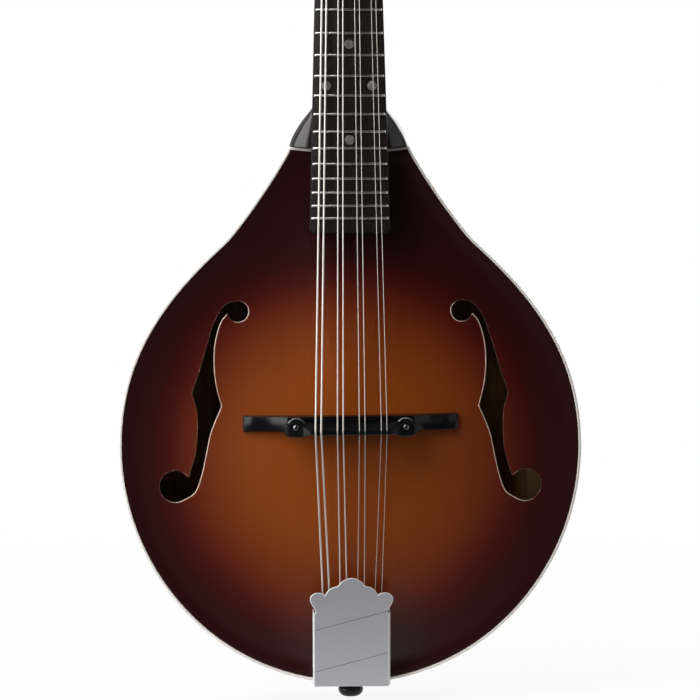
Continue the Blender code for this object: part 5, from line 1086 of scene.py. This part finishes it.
for index, (x, y) in enumerate(POSTS):
    string, radius, start, side = leaving(index)
    wire = WIRES[string]
    number = str(index + 1)
    body = "post_" + number
    spot = HEAD @ Matrix.Translation((x, y, 0))
    finish(twin(post, "post_shaft_" + number, spot), nickel, body, ["tuning_post_" + number], 40)
    finish(twin(gear, "post_gear_" + number, spot), brass, body, angle=30)
    finish(twin(bushing, "post_bushing_" + number, spot), nickel, angle=40)
    pitch, path = wire + WRAP_SPARE, []
    for i in range(2 * TURN_STEPS + 1):
        a = start - side * 2 * math.pi * i / TURN_STEPS
        path.append(Vector((radius * math.cos(a), radius * math.sin(a), WRAP_START + pitch * i / TURN_STEPS)))
    a -= side * 2 * math.pi / 12
    path.append(Vector((0.0018 * math.cos(a), 0.0018 * math.sin(a), path[-1].z + pitch / 12)))
    coil = skin("post_winding_" + number, wire_rings(path, wire / 2, 8))
    finish(lay(coil, spot), wire_finish[string], body, angle=80)
    axis, toward_gear = Vector((side, 0, 0)), Vector((0, 1, 0))
    turn = Matrix((toward_gear, axis.cross(toward_gear), axis)).transposed().to_4x4()
    spot = HEAD @ Matrix.Translation((x, y - CENTRES, GEAR_LEVEL)) @ turn
    body = "tuner_" + number
    finish(twin(worm, "worm_shaft_" + number, spot), nickel, body, ["tuner_button_" + number], 35)
    finish(twin(knob, "button_" + number, spot), button_plastic, body, angle=60)
discard(post, gear, bushing, worm, knob)

for name, _ in SIDES:
    plate = refined("tuner_plate_" + name, "machine_plate_" + name, 0.00012)
    finish(plate, nickel, stands_for=["tuner_plate_" + name])
cover_plate = refined("truss_rod_cover", "rod_cover", 0.0003)
finish(cover_plate, black_gloss, stands_for=["truss_rod_cover"])
repaint(worn_steel, "truss_rod")
repaint(brass, "truss_rod_nut")

# %% [markdown]
# Small round-headed screws hold the rod's cover and the tuner plates. One head is turned, its slot
# is cut, and copies are set down with their slots at different angles, as a hand leaves them.

# %% Screws
SCREW_PROFILE = ((0.0013, -0.0004), (0.0013, 0.0001), (0.0011, 0.00045), (0.0007, 0.00068), (0.0003, 0.00075))
screw = turned("screw_pattern", SCREW_PROFILE, 24)
combine(screw, block((0.0030, 0.0003, 0.0007), (0, 0, 0.0007)))
screws = [("rod_cover_screw_%d" % i, Matrix.Translation((0, y, CLEARANCE + 0.0016)), nickel)
          for i, y in enumerate((0.0045, 0.0265), start=1)]
facing_back = Matrix.Rotation(math.pi, 4, "Y")
for name, side in SIDES:
    for i, y in enumerate((0.0405, 0.0625, 0.0855, 0.1085, 0.1240), start=1):
        spot = Matrix.Translation((side * POST_OUT, y, PLATE_BACK)) @ facing_back
        screws.append(("machine_screw_%s_%d" % (name, i), spot, worn_steel))
for i, (name, spot, material) in enumerate(screws):
    turn = Matrix.Rotation(math.radians(37 * i % 180), 4, "Z")
    finish(twin(screw, name, HEAD @ spot @ turn), material, angle=40)
discard(screw)
print("screws", len(screws))

# %% [markdown]
# Eight strings run from their posts over the nut and the saddle to the hooks. Each is two wires here,
# because the saddle is a body of its own: the neck side runs from the post over the nut to the saddle,
# and the tail side runs from the saddle to the hook.

# %% Strings
def stretch_wire(name, string, path, stands_for=()):
    wire = skin(name, wire_rings(path, WIRES[string] / 2, 10, lift=Vector((0, -1, 0))))
    return finish(wire, wire_finish[string], None, stands_for, 80)


for index, (x, y) in enumerate(POSTS):
    string, radius, angle, _ = leaving(index)
    course, which = "gdae"[string // 2], 1 + string % 2
    name = "%s_string_%d" % (course, which)
    meet = Vector((x + radius * math.cos(angle), y + radius * math.sin(angle), WRAP_START))
    at_nut_front = NECK @ Vector((AT_NUT[string], NUT_TO_JOINT, STRING_OVER_NUT))
    at_saddle = bridge_spot @ BRIDGE_SLANT @ Vector((AT_SADDLE[string], -0.0018, crest + WIRES[string] / 2))
    at_hook = TAIL @ Vector((AT_HOOKS[string] + 0.0006, 0.0203, 0.0025))
    neck_run = [HEAD @ meet, HEAD @ nut_exit(string)] + [at_nut_front.lerp(at_saddle, i / 12) for i in range(13)]
    tail_run = [at_saddle.lerp(at_hook, i / 6) for i in range(7)]
    front = stretch_wire(name + "_neck_side", string, neck_run, ["string_%s%d" % (course, which)])
    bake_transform(front)
    rear = stretch_wire(name + "_tail_side", string, tail_run)
    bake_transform(rear)
print("strings strung")

# %% [markdown]
# The photograph is a studio shot on white, nearly square on. A large soft light on the left gives the
# arch its brighter side, a weaker one fills the right, a small high one lifts the edges and one from
# behind rims the right side. The world is plain: dark in front of the instrument, so that black gloss
# stays black, white beside and behind it, and dimmer straight behind. The floor is coloured by the
# same rule. To the camera both are white, but near the instrument the floor keeps a tenth of its own
# shading, and with it the shadow.

# %% Floor, world and lights
def along_y(tree, output, stops, **limits):
    """Greys from front to back, by one of the coordinate node's outputs."""
    split = add(tree, "SeparateXYZ", Vector=add(tree, "TexCoord").outputs[output])
    depth = add(tree, "MapRange", Value=split.outputs["Y"], **limits)
    return ramp(tree, depth.outputs["Result"], stops)


bpy.ops.object.select_all(action="DESELECT")
bpy.ops.mesh.primitive_plane_add(size=30, location=(0, 0, cad_low.z - 0.0010))
floor = bpy.context.object
floor.name = "floor"
FLOOR_STOPS = [(0.267, grey(0.035)), (0.327, grey(0.85)), (0.50, grey(0.85)), (0.733, grey(0.20))]
floor_paint, tree, shader = new_material("white floor", grey(0.85), 0.9, specular=0.1)
floor_level = along_y(tree, "Object", FLOOR_STOPS, From_Min=-1.0, From_Max=2.0)
tree.links.new(floor_level, shader.inputs["Base Color"])
glow = add(tree, "Emission", Color=grey(1.0), Strength=1.0)
rays = add(tree, "LightPath").outputs
mirrored_too = arithmetic(tree, "MAXIMUM", rays["Is Glossy Ray"], rays["Is Transmission Ray"])
looked_at = arithmetic(tree, "MAXIMUM", rays["Is Camera Ray"], arithmetic(tree, "MULTIPLY", mirrored_too, floor_level))
far_off = add(tree, "VectorMath", operation="LENGTH", Vector=add(tree, "TexCoord").outputs["Object"])
whiteness = add(tree, "MapRange", interpolation_type="SMOOTHSTEP", From_Min=0.10, From_Max=0.90, To_Min=0.90,
                To_Max=1.0, Value=far_off.outputs["Value"])
both = add(tree, "MixShader", Fac=arithmetic(tree, "MULTIPLY", looked_at, whiteness.outputs["Result"]))
for socket, source in ((1, shader.outputs["BSDF"]), (2, glow.outputs["Emission"])):
    tree.links.new(source, both.inputs[socket])
tree.links.new(both.outputs["Shader"], tree.nodes["Material Output"].inputs["Surface"])
add_materials(floor, floor_paint)
floor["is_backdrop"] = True

world = bpy.data.worlds.new("studio")
bpy.context.scene.world = world
world.use_nodes = True
tree = world.node_tree
BACKDROP_STOPS = [(0.48, grey(0.015)), (0.70, grey(1.0)), (0.80, grey(1.0)), (0.93, grey(0.20))]
backdrop = along_y(tree, "Generated", BACKDROP_STOPS, From_Min=-1.0)
background = tree.nodes["Background"].inputs
background["Color"].default_value = grey(1.0)
seen = add(tree, "LightPath").outputs["Is Camera Ray"]
tree.links.new(arithmetic(tree, "MAXIMUM", backdrop, seen), background["Strength"])

middle = BENCH @ Vector((0, -0.145, 0))
LAMPS = (("key_left", (-1.95, -1.0, 0.45), 1.8, 2.8, 72.0), ("fill_right", (1.8, -1.0, 0.3), 1.8, 2.4, 9.0),
         ("high_left", (-0.9, -1.1, 1.6), 0.9, 0.9, 14.0), ("behind_right", (1.4, 1.5, 0.9), 1.2, 1.2, 26.0))
for name, place, wide, tall, power in LAMPS:
    lamp = bpy.data.lights.new(name, "AREA")
    lamp.shape = "RECTANGLE"
    lamp.size, lamp.size_y = wide, tall
    lamp.energy = power
    holder = bpy.data.objects.new(name, lamp)
    holder.location = middle + Vector(place)
    holder.rotation_mode = "QUATERNION"
    holder.rotation_quaternion = (-Vector(place)).to_track_quat("-Z", "Y")
    bpy.context.scene.collection.objects.link(holder)

# %% [markdown]
# The camera's place was found by fitting the fret places, the body's outline and the bridge, whose
# real sizes are known, to where the photograph shows them. It looks slightly down and a little from
# the left, from about 1.4 m.

# %% Camera
PITCH, YAW, ROLL = math.radians(2.31), math.radians(0.99), math.radians(-0.241)
DISTANCE, FOCAL_PIXELS, PICTURE = 1.400, 2629.8, 700
look = Vector((math.sin(YAW) * math.cos(PITCH), -math.sin(PITCH), -math.cos(PITCH) * math.cos(YAW))).normalized()
right = look.cross(Vector((0, 1, 0))).normalized()
up = right.cross(look)
right, up = right * math.cos(ROLL) + up * math.sin(ROLL), up * math.cos(ROLL) - right * math.sin(ROLL)
target = Vector((-0.00014, -0.10842, 0.0080))
stand = BENCH @ (target - look * DISTANCE)
axes = [BENCH.to_3x3() @ axis for axis in (right, up, -look)]
data = bpy.data.cameras.new("camera")
data.sensor_width = 36.0
data.lens = FOCAL_PIXELS / PICTURE * data.sensor_width
data.clip_start, data.clip_end = 0.05, 50.0
camera = bpy.data.objects.new("camera", data)
camera.matrix_world = Matrix.Translation(stand) @ Matrix(axes).transposed().to_4x4()
bpy.context.scene.collection.objects.link(camera)
bpy.context.scene.camera = camera
bpy.context.scene.view_settings.view_transform = "Standard"
print("camera at", [round(v, 3) for v in camera.location])

# %% Print the finished size
bpy.context.view_layer.update()
low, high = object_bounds()
print("visual box", [round(v, 4) for v in high - low])
